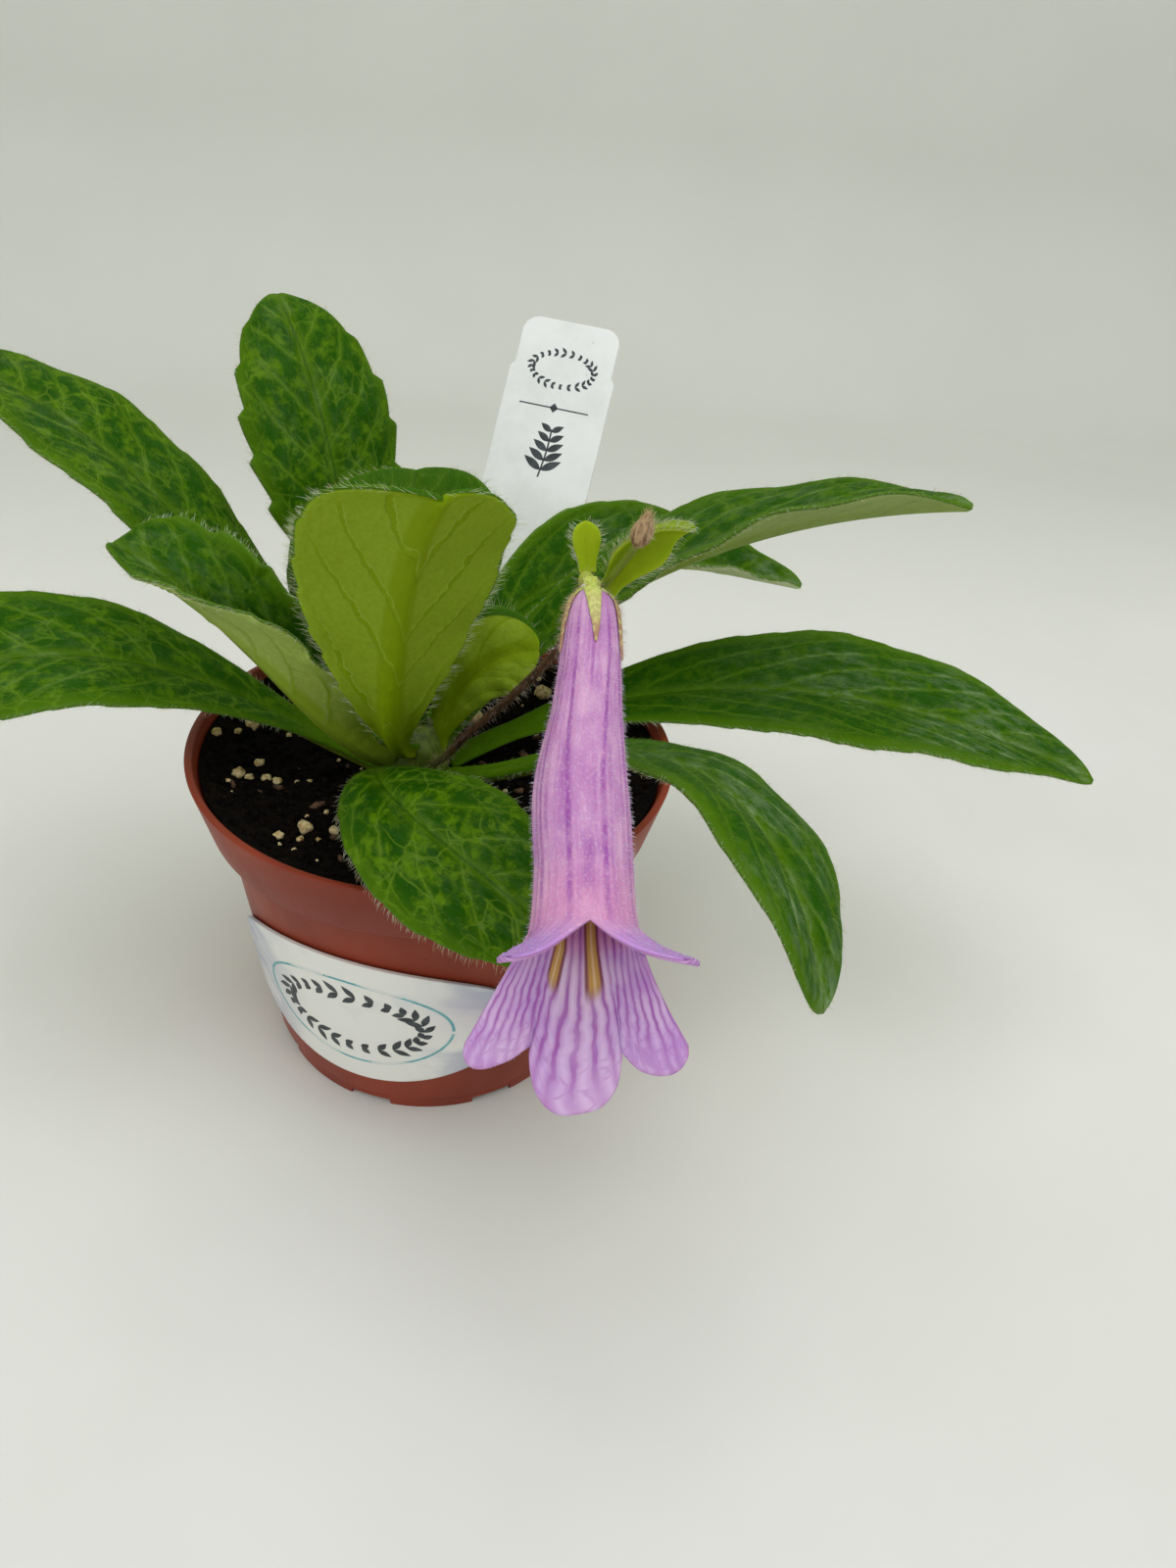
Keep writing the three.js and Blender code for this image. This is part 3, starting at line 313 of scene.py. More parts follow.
pot_rings = [ring(radius, height, circle(160)) for radius, height in rounded(POT_OUTLINE)[1:-1]]
pot = made("pot_body", lofted(pot_rings), plastic, node="pot", slot="pot_plastic")
cutters = bmesh.new()
for k in range(DRAINS):
    way = Matrix.Rotation(2 * math.pi * k / DRAINS, 4, "Z")
    bmesh.ops.create_cone(
        cutters, cap_ends=True, segments=32, radius1=DRAIN_RADIUS / 1000,
        radius2=DRAIN_RADIUS / 1000, depth=0.012,
        matrix=way @ Matrix.Translation((DRAIN_PLACE / 1000, 0, 0)))
for k in range(FEET):
    way = Matrix.Rotation(2 * math.pi * (k + 0.5) / FEET, 4, "Z")
    gap = Matrix.Diagonal([side / 1000 for side in FOOT_GAP] + [1])
    bmesh.ops.create_cube(
        cutters, matrix=way @ Matrix.Translation((FOOT_PLACE / 1000, 0, 0)) @ gap)
cutter_mesh = bpy.data.meshes.new("pot_cutters")
cutters.to_mesh(cutter_mesh)
cutters.free()
cutter = placed("pot_cutters", cutter_mesh)
cut = pot.modifiers.new("cut", "BOOLEAN")
cut.object, cut.operation, cut.solver = cutter, "DIFFERENCE", "EXACT"
baked(pot)
bpy.data.objects.remove(cutter)
dressed(pot, plastic, sharp=38)

# ---- Soil ---------------------------------------------------------------------------------
# Black peat, damp and crumbly, low round the crown and banked up to just under the rim. It
# holds cream grains of perlite and bits of brown bark.
SOIL_TOP, SOIL_EDGE = 47.9, 54.2
SOIL_WALL = [[25.5, 3], [31.2, 45.5], [33.5, 46.7], [35.9, 54.2]]
CROWN_PLACE = (-2.8, 4)
GRAINS = [  # where the larger grains lie, and half their size
    [-34.4, 4.6, 1], [-29.5, 9.3, 1.4], [-31.4, 6.3, 0.7], [-27.4, -0.5, 0.95],
    [-29.8, -4.8, 1.1], [-28.2, -5.1, 0.85], [-25.8, -4.3, 0.95], [-24.2, -4.4, 0.8],
    [-22.2, -20.5, 0.9], [-18.8, -16.6, 1.4], [-14.7, -15.8, 0.95], [-23.8, 8.6, 0.6],
    [6.8, 17.9, 1.9], [18.9, 21.6, 1.9],
]
SMALL_GRAINS, GRAINS_REACH, GRAINS_OFF_CROWN = 60, 33, 9
SOIL_AROUND = 200


def soil_height(x, y):
    share = np.clip((np.hypot(x, y) - 12) / (36 - 12), 0, 1)
    ripple = 0.45 * np.sin(0.9 * x + 0.4 * y) * np.cos(0.7 * y - 0.35 * x)
    near_crown = np.hypot(x - CROWN_PLACE[0], y - CROWN_PLACE[1]) / 11
    bank = (SOIL_EDGE - SOIL_TOP) * share ** 1.3
    return SOIL_TOP + bank + ripple * (1 - share) - 1.8 * np.exp(-near_crown ** 2)


def lumps(points, size, depth, octaves=4):
    """How far a lumpy surface stands out at each point."""
    return np.array([depth * noise.fractal(Vector(p) / size, 0.9, 2.1, octaves) for p in points])


peat = Finish("potting_mix", 0.9, 0.06)
crumbly = peat.noise(1.3, 6, 0.7)
peat.coat((9, 7, 6))
peat.coat((30, 22, 16), crumbly.rise(0.42, 0.75))
peat.coat((74, 54, 36), peat.noise(0.7, 3).rise(0.68, 0.78) * 0.7)
peat.relief(crumbly + peat.noise(0.35, 3) * 0.5, 0.5, 0.9)

soil_rings = [ring(radius, height, circle(SOIL_AROUND)) for radius, height in SOIL_WALL]
for radius in np.linspace(35.2, 0.4, 82):
    line = ring(radius, 0, circle(SOIL_AROUND))
    line[:, 2] = soil_height(line[:, 0], line[:, 1])
    line[:, 2] += lumps(line + (0, 0, 9), 2.6, 0.55) - 0.1
    soil_rings.append(line)
made("soil_bed", lofted(soil_rings), peat, node="soil", slot="potting_mix")


class Growth(Nodes):
    """Geometry Nodes that set many small shapes on a piece and keep them as another piece."""

    def __init__(self, name, **inputs):
        self.tree = bpy.data.node_groups.new(name, "GeometryNodeTree")
        for key, kind in {"Geometry": "Geometry", **inputs, "Material": "Material"}.items():
            self.tree.interface.new_socket(key, in_out="INPUT", socket_type="NodeSocket" + kind)
        self.tree.interface.new_socket("Geometry", in_out="OUTPUT",
                                       socket_type="NodeSocketGeometry")
        self.given = self.tree.nodes.new("NodeGroupInput").outputs

    def random(self, low, high, seed):
        """A number, or a vector where low is one, drawn anew for each shape."""
        kind, first = ("FLOAT_VECTOR", 0) if isinstance(low, tuple) else ("FLOAT", 2)
        return self.add("FunctionNodeRandomValue", {first: low, first + 1: high, "Seed": seed},
                        first // 2, data_type=kind)

    def product(self, first, second):
        return self.add("ShaderNodeMath", {0: first, 1: second}, operation="MULTIPLY")

    def scattered(self, density):
        return self.add("GeometryNodeDistributePointsOnFaces", {
            "Mesh": self.given["Geometry"], "Density": density, "Seed": self.given["Seed"]})

    def finished(self, points, shape, turn, size):
        """Sets the shape on the points, makes it real and gives it its material."""
        real = self.add("GeometryNodeRealizeInstances", {
            "Geometry": self.add("GeometryNodeInstanceOnPoints", {
                "Points": points, "Instance": shape, "Rotation": turn,
                "Scale": self.add("ShaderNodeCombineXYZ", dict(enumerate(size)))})})
        coated = self.add("GeometryNodeSetMaterial", {
            "Geometry": real, "Material": self.given["Material"]})
        self.tree.links.new(coated, self.tree.nodes.new("NodeGroupOutput").inputs[0])

    def on(self, name, mesh, values, finish, slot):
        """Runs the tree on a copy of a mesh and keeps what it makes as a piece of its own."""
        piece = placed(name, mesh.copy())
        modifier = piece.modifiers.new("grow", "NODES")
        modifier.node_group = self.tree
        sockets = {item.name: item.identifier for item in self.tree.interface.items_tree
                   if item.in_out == "INPUT"}
        for key, value in {**values, "Material": finish.material}.items():
            modifier[sockets[key]] = value
        baked(piece)
        return dressed(piece, slot=slot)


# Crumbs: small rough lumps, each turned and scaled at random, half sunk in the bed.
crumbs = Growth("soil_crumbs", Density="Float", Smallest="Float", Largest="Float",
                Longest="Float", Seed="Int")
wide = crumbs.random(crumbs.given["Smallest"], crumbs.given["Largest"], 3)
longer = crumbs.product(wide, crumbs.random(1.0, crumbs.given["Longest"], 4))
lump = crumbs.add("GeometryNodeMeshIcoSphere", {"Radius": 1.0, "Subdivisions": 1})
crumbs.finished(crumbs.scattered(crumbs.given["Density"]), lump,
                crumbs.random((-0.5, -0.5, -3.14), (0.5, 0.5, 3.14), 5), (longer, wide, wide))
bed_top = mesh_of("bed_top", *lofted(soil_rings[6:], closed_ends=False))


def crumbled(name, finish, density, smallest, largest, longest, seed, size, depth):
    """Crumbs on the bed, their points pushed in and out so that no two are alike. Density is
    crumbs a square millimetre; size is how far apart the dents are."""
    piece = crumbs.on(name, bed_top, {
        "Density": density * 1e6, "Smallest": smallest / 1000, "Largest": largest / 1000,
        "Longest": longest, "Seed": seed}, finish, "potting_mix")
    points = np.empty(len(piece.data.vertices) * 3)
    piece.data.vertices.foreach_get("co", points)
    points = points.reshape(-1, 3) * 1000
    noise.seed_set(seed)
    shift = np.array([noise.noise_vector(Vector(p) / size) for p in points]) * depth
    piece.data.vertices.foreach_set("co", ((points + shift) / 1000).ravel())


crumbled("soil_crumbs", peat, 0.52, 0.2, 0.7, 1.6, 3, 0.7, 0.25)
bark = Finish("bark_bits", 0.85)
grainy = bark.noise(1.2, 5, 0.6)
bark.coat((52, 34, 24))
bark.coat((120, 86, 56), grainy.rise(0.35, 0.75))
bark.relief(grainy, 0.2)
crumbled("bark_bits", bark, 0.022, 0.25, 0.6, 4.5, 8, 0.9, 0.3)

perlite = Finish("perlite", 0.8, 0.2, glow=0.15)
pitted = perlite.noise(0.8, 5, 0.65)
perlite.coat((222, 204, 156))
perlite.coat((178, 150, 96), pitted.rise(0.42, 0.62))
perlite.coat((74, 54, 34), perlite.noise(1.1, 4, 0.6).rise(0.6, 0.7))
perlite.relief(pitted, 0.3, 0.8)


def gathered(forms):
    """Points and faces of several forms as one form."""
    points, faces, count = [], [], 0
    for more, skin in forms:
        faces += [[n + count for n in face] for face in skin]
        points.append(more)
        count += len(more)
    return np.vstack(points), faces


pick = np.random.default_rng(7)
grains = [list(grain) for grain in GRAINS]
while len(grains) < len(GRAINS) + SMALL_GRAINS:
    reach, bearing = GRAINS_REACH * math.sqrt(pick.random()), pick.uniform(0, 6.28)
    size = pick.uniform(0.2, 0.62)
    x, y = reach * math.cos(bearing), reach * math.sin(bearing)
    clear = all(math.hypot(x - g[0], y - g[1]) > size + g[2] + 0.2 for g in grains)
    if clear and math.hypot(x - CROWN_PLACE[0], y - CROWN_PLACE[1]) > GRAINS_OFF_CROWN:
        grains.append([x, y, size])
ball = bmesh.new()
bmesh.ops.create_icosphere(ball, subdivisions=2, radius=1)
ball_points = np.array([v.co[:] for v in ball.verts])
ball_faces = [[v.index for v in f.verts] for f in ball.faces]
ball.free()
grain_forms = []
for x, y, size in grains:
    a = pick.uniform(0, 6.28)
    spin = np.array([[math.cos(a), -math.sin(a), 0], [math.sin(a), math.cos(a), 0], [0, 0, 1]])
    shape = ball_points * (1, 0.85, 0.72)
    shape = shape * (1 + 0.42 * lumps(ball_points + (x, y, 0), 0.7, 1.0, 3))[:, None]
    middle = np.array([x, y, soil_height(x, y) + 0.2 * size])
    grain_forms.append((shape * size * 0.95 @ spin.T + middle, ball_faces))
made("perlite_grains", gathered(grain_forms), perlite, slot="potting_mix")

# ---- Crown --------------------------------------------------------------------------------
# The short fleshy stem that the leaves and the flower stalk come from. Only its top shows.
CROWN_OUTLINE = np.array([[3.2, 40], [5.4, 47], [5.4, 50.5], [4.6, 54], [2.7, 56.5]])
flesh = Finish("crown_flesh_painted_shade", 0.6, glow=0.2, depth=2)
streaks = flesh.noise(1.6, 4, 0.6, flesh.stretched((1, 1, 0.2)))
# Painted shade: both greens are darker than the flesh itself, for the shaded gap between the
# petioles where it shows
flesh.coat((92, 112, 14))
flesh.coat((52, 66, 8), streaks.rise(0.4, 0.7))
flesh.relief(streaks, 0.25, 0.7)
crown_rings = []
for height in np.linspace(*CROWN_OUTLINE[[0, -1], 1], 34):
    radius = np.interp(height, CROWN_OUTLINE[:, 1], CROWN_OUTLINE[:, 0])
    swell = radius * (1 + 0.04 * np.sin(5 * circle(80) + height / 2))
    crown_rings.append(ring(swell, height, circle(80), CROWN_PLACE))
made("crown_stem", lofted(crown_rings), flesh, node="crown", slot="crown_stem")

# ---- Leaves -------------------------------------------------------------------------------
# Thick soft blades on short channelled petioles, quilted between their veins and covered with
# fine white hair.


def leaf(base, azimuth, rise, roll, length, half, widest, petiole, fold, curl, point, teeth, wave,
         net, bloom, taper=0.62, sweep=1, tip_fold=None, waist=(1, 0, 0.5, 0.3), keel=1.4):
    """A leaf's measures. base: a place, or a height after a bearing and a radius on the crown.
    azimuth: heading at base and tip. rise: slope at base, middle and tip. fold and curl bend
    both halves up. waist: the half that is drawn in (1 or -1), how much, where along the leaf
    and how far. net: how plain its veins are; bloom: how silvery its tip."""
    return SimpleNamespace(**locals())


def on_crown(bearing, reach, height):
    return (CROWN_PLACE[0] + reach * math.cos(math.radians(bearing)),
            CROWN_PLACE[1] + reach * math.sin(math.radians(bearing)), height)


LEAVES = {
    "leaf_far_left": leaf(
        on_crown(150, 4.5, 51.5), (162, 154), (36, 41, -6), (-1, 3), 95, 12.1, 0.63, 1.9,
        23, -15, 2, 0.35, 0.5, 0.8, 0.25),
    "leaf_back": leaf(
        on_crown(112, 3.8, 53.5), (132, 117), (42, 70, 24), (1, -6), 71.7, 12.6, 0.66, 1.9,
        19, -25, 2.1, 0.95, 0.3, 0.75, 0.2),
    "leaf_folded_left": leaf(
        on_crown(202, 4.4, 51.5), (247, 129), (26, 52, -9), (4, -25), 61.2, 10.3, 0.63, 2,
        64, 0, 3.4, 0.9, 0.6, 0.5, 0.35, tip_fold=8, waist=(1, 0.72, 0.98, 0.34)),
    "leaf_low_left": leaf(
        on_crown(190, 5.2, 48.8), (186, 200), (31, 19, -60), (-2, -20), 84.2, 12.9, 0.67, 2,
        22, -15, 2.1, 0.25, 0.3, 0.7, 0.3),
    "leaf_young_front": leaf(
        on_crown(262, 2.6, 54), (251, 307), (22, 65, 50), (10, -18), 69.3, 13.9, 0.84, 1.3,
        32, -16, 2.2, 0.35, 0.45, 0.8, 0.1, sweep=1.25),
    "leaf_young_back": leaf(
        on_crown(80, 1.2, 54.5), (81, 84), (105, 103, 13), (-3, -9), 49.5, 16.9, 0.65, 1.8,
        16, -6, 2.3, 0.15, 0.2, 0.3, 0.1, waist=(-1, 0.6, 0.42, 0.27)),
    "leaf_small": leaf(
        on_crown(333, 3.4, 52.8), (5, 6), (76, 54, -12), (44, 56), 26, 9.3, 0.66, 1.9,
        14, -22, 2.3, 0.3, 0.35, 0.15, 0.1, waist=(-1, 0.45, 0.5, 0.42)),
    "leaf_right_back": leaf(
        on_crown(74, 4.6, 51.5), (48.5, 21), (58.2, -5.2, -17), (5, 22), 101.8, 12.5, 0.5, 1.2,
        29, 6, 1.25, 0.3, 0.4, 0.4, 1.2, sweep=1.5),
    "leaf_right_high": leaf(
        on_crown(26, 4.2, 51.8), (31, -46), (46, 31, 17), (10, -13), 95, 14, 0.59, 2,
        32, -14, 2.3, 0.4, 0.5, 0.45, 0.55, taper=0.85, sweep=1.6),
    "leaf_right": leaf(
        on_crown(12, 5.3, 48.8), (11, -22), (27, 1, -18), (20, 3), 112.2, 14.9, 0.64, 2,
        22, -12, 1.9, 0.3, 0.4, 0.3, 1.0, taper=0.75, sweep=2.2),
    "leaf_right_low": leaf(
        on_crown(320, 5.3, 48.8), (-38, -81), (24, 24, -58), (22, -42), 94.4, 10.6, 0.77, 1.9,
        22, -20, 2.4, 0.25, 0.4, 0.3, 1.0, taper=0.75, sweep=2.2),
    "leaf_front": leaf(
        on_crown(248, 4.8, 48.8), (238, 360), (43, 5, -66), (6, 34), 66.7, 11.7, 0.69, 1.7,
        20, -27, 1.5, 0.25, 0.2, 1.0, 0.2),
}
YOUNG = ("leaf_young_front", "leaf_young_back", "leaf_small")
BLADE = 0.8  # how thick a blade is


def ramp(value, low, span):
    """0 up to low, then up to 1 over the span."""
    return np.clip((value - low) / span, 0, 1)


def blade_form(leaf, stations, columns, spacing, seed):
    """A leaf's blade, and what its finish and its hairs need to know at each point."""
    t = np.linspace(0, 1, stations + 1)[:, None]
    x = t * leaf.length
    azimuth = np.radians(leaf.azimuth[0] + (leaf.azimuth[1] - leaf.azimuth[0]) * t)
    slope = np.radians(leaf.rise[0] * (1 - t) * (1 - 2 * t) + leaf.rise[1] * 4 * t * (1 - t)
                       + leaf.rise[2] * t * (2 * t - 1))
    heading = np.hstack([np.cos(azimuth) * np.cos(slope), np.sin(azimuth) * np.cos(slope),
                         np.sin(slope)])
    steps = (heading[1:] + heading[:-1]) / 2 * leaf.length / stations
    centre = np.vstack([np.zeros(3), np.cumsum(steps, 0)]) + leaf.base
    level = np.hstack([-np.sin(azimuth), np.cos(azimuth), np.zeros_like(azimuth)])
    upright = np.cross(heading, level)
    roll = np.radians(leaf.roll[0] + (leaf.roll[1] - leaf.roll[0]) * t)
    side = level * np.cos(roll) + upright * np.sin(roll)
    face = upright * np.cos(roll) - level * np.sin(roll)

    ending = ramp(t, leaf.widest, 1 - leaf.widest)
    taper = np.maximum(1 - ending ** leaf.point, 0) ** leaf.taper
    widening = np.sin(math.pi / 2 * ramp(t, 0.1, leaf.widest - 0.1) ** 1.4)
    half = np.maximum((leaf.petiole + (leaf.half - leaf.petiole) * widening) * taper, 0.22)

    u = np.linspace(-1, 1, columns + 1)[None, :]
    v = 0.8 * np.sin(math.pi / 2 * u) + 0.2 * u
    wide, hand = np.abs(v), np.sign(v)
    saw = (x / (7 if leaf.half < 13.5 else 6) + 0.35 * (hand > 0)) % 1
    tooth = leaf.teeth * 1.25 * (np.where(saw < 0.86, saw / 0.86, (1 - saw) / 0.14) - 0.6)
    tooth = tooth * ramp(t, 0.3, 0.12) * taper * ramp(wide, 0.55, 0.45) ** 2
    opened = ramp(t, 0.6, 0.32)
    opened = opened * opened * (3 - 2 * opened)
    fold = math.radians(leaf.fold) * (0.4 + 0.6 * ramp(t, 0, 0.2)) * (1 - opened)
    fold = fold + math.radians(leaf.fold if leaf.tip_fold is None else leaf.tip_fold) * opened
    drawn_hand, depth, at, reach = leaf.waist
    drawn_in = 1 - depth * (hand * drawn_hand > 0) * np.exp(-(((t - at) / reach) ** 2))
    bend = math.radians(leaf.curl) * 2 or 1e-6
    across = (np.sin(fold + bend * wide) - np.sin(fold)) / bend
    lift = (np.cos(fold) - np.cos(fold + bend * wide)) / bend
    swing = leaf.wave * ramp(t, 0.35, 0.2) * wide ** 1.5
    swing = swing * np.sin(2 * math.pi * 5 * t + 2 * hand)
    apart = hand * drawn_in * (half * across + tooth)
    sheet = (centre[:, None] + side[:, None] * apart[..., None]
             + face[:, None] * (half * lift + swing)[..., None])
    normal = np.cross(np.gradient(sheet, axis=0), np.gradient(sheet, axis=1))
    normal /= np.linalg.norm(normal, axis=2, keepdims=True)

    pick = np.random.default_rng(seed)
    waver = sum(pick.uniform(0.02, 0.07) * np.sin(x / pick.uniform(3, 9) + pick.uniform(0, 6)
                + wide * pick.uniform(-3, 3) + hand) for _ in range(4))
    vein = x - leaf.sweep * half * (0.95 * wide + 0.55 * wide ** 2)
    vein = vein / (spacing * leaf.sweep ** 0.6) + 0.5 * (hand > 0) + waver
    out = wide * half
    in_blade = ramp(half, 3.5, 4)
    quilt = (np.abs(np.sin(math.pi * vein)) ** 0.7 - 0.55) * in_blade
    quilt = quilt * ramp(out, 0, 2) * ramp(1 - wide, 0, 0.14)
    ridge = np.exp(-((np.abs((vein + 0.5) % 1 - 0.5) * spacing / 0.55) ** 2)) * in_blade
    ridge = ridge * ramp(out, 0, 1.5) * ramp(1 - wide, 0, 0.25)
    margin = ramp(half - out, 0, np.minimum(BLADE, half))
    body = np.minimum(BLADE / 2, half * 0.5) * np.sqrt(1 - (1 - margin) ** 2)
    groove = 0.34 * np.exp(-((out / 0.9) ** 2)) * in_blade
    midrib = leaf.keel * (1 - 0.8 * t) * np.exp(-((out / 1.5) ** 2))
    top = sheet + normal * (body + (0.26 * quilt - groove) * margin)[..., None]
    under = sheet - normal * (body + (midrib + 0.26 * ridge) * margin)[..., None]

    def looped(upper, lower):
        """Values over the top of the blade and back below it."""
        return np.concatenate([upper, lower[:, -2:0:-1]], axis=1)

    def spread(upper, lower=None):
        """Values on all points of the skin; the middles of its two ends come last."""
        upper = np.broadcast_to(upper, sheet.shape[:2] + np.shape(upper)[2:])
        flat = looped(upper, upper if lower is None else np.broadcast_to(lower, upper.shape))
        flat = flat.reshape((-1,) + flat.shape[2:])
        return np.concatenate([flat, flat[:1], flat[-1:]])

    tipward = np.broadcast_to(heading[:, None], sheet.shape)
    outward = side[:, None] * (hand * np.ones_like(t))[..., None]
    combed = normal * 0.55 + tipward * 0.8
    fields = {
        "vein": spread(vein), "wide": spread(wide), "along": spread(t), "out": spread(hand * out),
        "run": spread(x), "half": spread(half), "net": spread(leaf.net),
        "bloom": spread(leaf.bloom), "upper": spread(1.0, 0.0), "tone": spread(1.0, 0.0),
        "fringe": spread(ramp(wide, 0.965, 0.035) * ramp(t, 0.1, 0.12)),
        "comb": spread(combed, combed - normal * 1.1),
        "comb_edge": spread(outward * 0.9 + tipward * 0.45),
    }
    fields["comb"][-1] = combed[-1, 0]
    fields["blade"] = np.stack([fields["run"], fields["out"], fields["upper"] * 40], 1) / 1000
    return lofted(looped(top, under)), fields


def leaf_skin(name, upper, lower, vein, rim, silver, glow=0.12):
    """A leaf's skin. upper: green, lighter by the veins, and dark patches, the darkest green also
    painted as shade in the groove along the midrib; lower: the same below, then the silvery part
    towards the tip. Below, upper's second green is also painted shadow on one side of each vein
    ridge, and the silvery colour painted highlight on the other."""
    skin = Finish(name, 0.5, 0.05, glow, 2)
    skin.set("Subsurface Radius", (0.5, 1.0, 0.1))
    blade = skin.chart("blade")
    wide, half, along, tone, net, bloom = (
        skin.field(key) for key in ("wide", "half", "along", "tone", "net", "bloom"))
    patchy = skin.noise(8, 2, 0.5, blade)
    mottle = skin.noise(5, 4, 0.6, blade)
    bent_vein = skin.field("vein") + (skin.noise(3, 3, 0.6, blade) - 0.5) * 0.35
    beside = bent_vein.to_line()
    in_blade = half.rise(3, 6)
    out = wide * half
    lateral = beside.rise(0.04, 0.0) * wide.rise(0.88, 0.5) * 0.8
    arc = abs(wide - 0.78 - (bent_vein * 6.283).sine() * 0.07)
    looping = arc.rise(0.025, 0.0) * patchy.rise(0.3, 0.55)
    cells = skin.cells(3.9, skin.stretched((0.8, 1.05, 1), skin.bent(blade, 4, 0.9)))
    mesh = cells.rise(0.055, 0.0) * patchy.rise(0.36, 0.58) * 0.75
    veins = lateral.largest(looping * 0.6).largest(mesh) * in_blade * patchy.rise(0.2, 0.5)
    band = out.rise(2.0, 0.2).largest(beside.rise(0.18, 0.0) * in_blade * 0.7)
    band = band.largest(wide.rise(0.7, 0.95) * 0.8).largest(half.rise(5, 2.5))
    speckle = skin.noise(2.4, 4, 0.65, blade).rise(0.45, 0.65)
    deep = beside.rise(0.2, 0.42) * wide.rise(0.8, 0.45) * mottle.rise(0.42, 0.62) * in_blade
    streak = skin.noise(1.3, 4, 0.7, skin.stretched((0.4, 1.1, 1), blade))
    frost = streak.rise(0.38, 0.72) * (band * 0.6 + 0.4)
    frost = frost * skin.noise(14, 2, 0.5, blade).rise(0.35, 0.6)
    frost = frost * along.rise(0.3, 0.75) * wide.rise(1.05, 0.5)
    skin.coat(upper[0])
    skin.coat(upper[1], (band * (mottle * 0.6 + 0.25)).largest(speckle * (net * 0.7 + 0.1)))
    skin.coat(upper[2], deep * net * 0.6)
    skin.coat(vein, veins * net * 0.48)
    # Painted shade: a thin line along the midrib on top, in its groove, darkened with the darkest
    # green
    skin.coat(upper[2], out.rise(0.4, 0.1) * in_blade * 0.45)
    skin.coat(silver, (frost * bloom).sum("MINIMUM", 1.0))
    skin.coat(rim, wide.rise(0.94, 0.99) * 0.45)
    above = skin.colour

    inward = in_blade * wide.rise(1.0, 0.65)
    shown = inward * net.rise(0.0, 0.6)
    fleshy = (beside.rise(0.07, 0.035) * inward).largest(out.rise(2.2, 1.3))
    skin.coat(lower[0])
    skin.coat(lower[1], skin.noise(0.7, 3, 0.6, blade).rise(0.35, 0.65) * 0.5)
    skin.coat(lower[2], fleshy.largest(half.rise(7, 3.5)) * 0.9)
    # Painted shadow on one side of each vein ridge below, and painted highlight on the other side
    skin.coat(upper[1], (bent_vein + 0.06).to_line().rise(0.028, 0.0) * shown * 0.5)
    skin.coat(silver, (bent_vein - 0.06).to_line().rise(0.028, 0.0) * shown * 0.45)
    skin.coat(lower[3], bloom * along.rise(0.4, 0.8) * 0.8)
    skin.coat(rim, wide.rise(0.978, 0.995) * 0.4)
    skin.coat(above, tone)
    skin.set("Roughness", 0.66 - veins * 0.06 - mottle * 0.16)
    raised = cells.rise(0.0, 0.3) * 0.6 + skin.noise(0.45, 2, 0.6, blade) * 0.35
    skin.relief(raised + skin.cells(0.5, blade, "F1") * 0.2, 0.2, 0.8)
    return skin


grown_skin = leaf_skin(
    "leaf_skin", ((36, 82, 0), (96, 134, 6), (8, 66, 0)),
    ((142, 164, 64), (164, 182, 90), (130, 154, 32), (166, 182, 132)),
    (124, 156, 40), (92, 122, 52), (132, 154, 116))
young_skin = leaf_skin(
    "young_leaf_skin", ((46, 88, 4), (66, 106, 6), (30, 76, 4)),
    ((128, 152, 30), (142, 164, 46), (118, 142, 0), (142, 164, 46)),
    (120, 152, 40), (84, 118, 36), (164, 182, 84), glow=0.4)

blades = {}
for order, (name, measures) in enumerate(LEAVES.items()):
    small, young = name == "leaf_small", name in YOUNG
    vein_gap = 6.4 if small else 10.5 if young else 7.6
    form, fields = blade_form(measures, 90 if small else 150, 40, vein_gap, order)
    if small:  # its rim is rolled over and shows its dark side
        rolled = ramp(fields["wide"], 0.72, 0.04) * ramp(fields["along"], 0.6, 0.1)
        fields["tone"] = fields["upper"] * rolled * (fields["out"] > 0)
    blades[name] = made(name + "_blade", form, young_skin if young else grown_skin, fields,
                        node=name, slot="young_leaf" if young else "leaf")

# ---- Leaf hairs ---------------------------------------------------------------------------
# Fine white hairs: short ones lying forward over both faces, longer ones standing out along
# the margins. Each is a thin bowed cone set in the skin.
hairs = Growth("hairs", Density="Float", Where="String", Comb="String", Shortest="Float",
               Longest="Float", Width="Float", Stray="Float", Parts="Int", Seed="Int")
given = hairs.given
where = hairs.add("GeometryNodeInputNamedAttribute", {"Name": given["Where"]}, data_type="FLOAT")
comb = hairs.add("GeometryNodeInputNamedAttribute", {"Name": given["Comb"]},
                 data_type="FLOAT_VECTOR")
stray = hairs.add("ShaderNodeVectorMath", {
    0: hairs.random((-1, -1, -1), (1, 1, 1), 11), "Scale": given["Stray"]}, operation="SCALE")
way = hairs.add("ShaderNodeVectorMath", {0: comb, 1: stray}, operation="ADD")
pointing = hairs.add("FunctionNodeAlignRotationToVector", {"Vector": way}, axis="Z")
hair = hairs.add("GeometryNodeMeshCone", {
    "Vertices": 3, "Side Segments": given["Parts"], "Radius Top": 0.15, "Radius Bottom": 1.0,
    "Depth": 1.0})
height = hairs.add("ShaderNodeSeparateXYZ", {0: hairs.add("GeometryNodeInputPosition", {})}, 2)
sideways = hairs.product(hairs.product(height, height), 4.0)
bowed = hairs.add("GeometryNodeSetPosition", {
    "Geometry": hair, "Offset": hairs.add("ShaderNodeCombineXYZ", {0: sideways})})
hairs.finished(hairs.scattered(hairs.product(where, given["Density"])), bowed, pointing,
               (given["Width"], given["Width"],
                hairs.random(given["Shortest"], given["Longest"], 12)))


def hair_finish(name, root, tip):
    """Pale see-through hair: a soft matt thread that is a little uneven in colour."""
    down = Finish(name, 0.55, 0.15, 0.3, 0.5)
    down.coat(root)
    down.coat(tip, down.noise(1.5, 2).rise(0.3, 0.7))
    return down


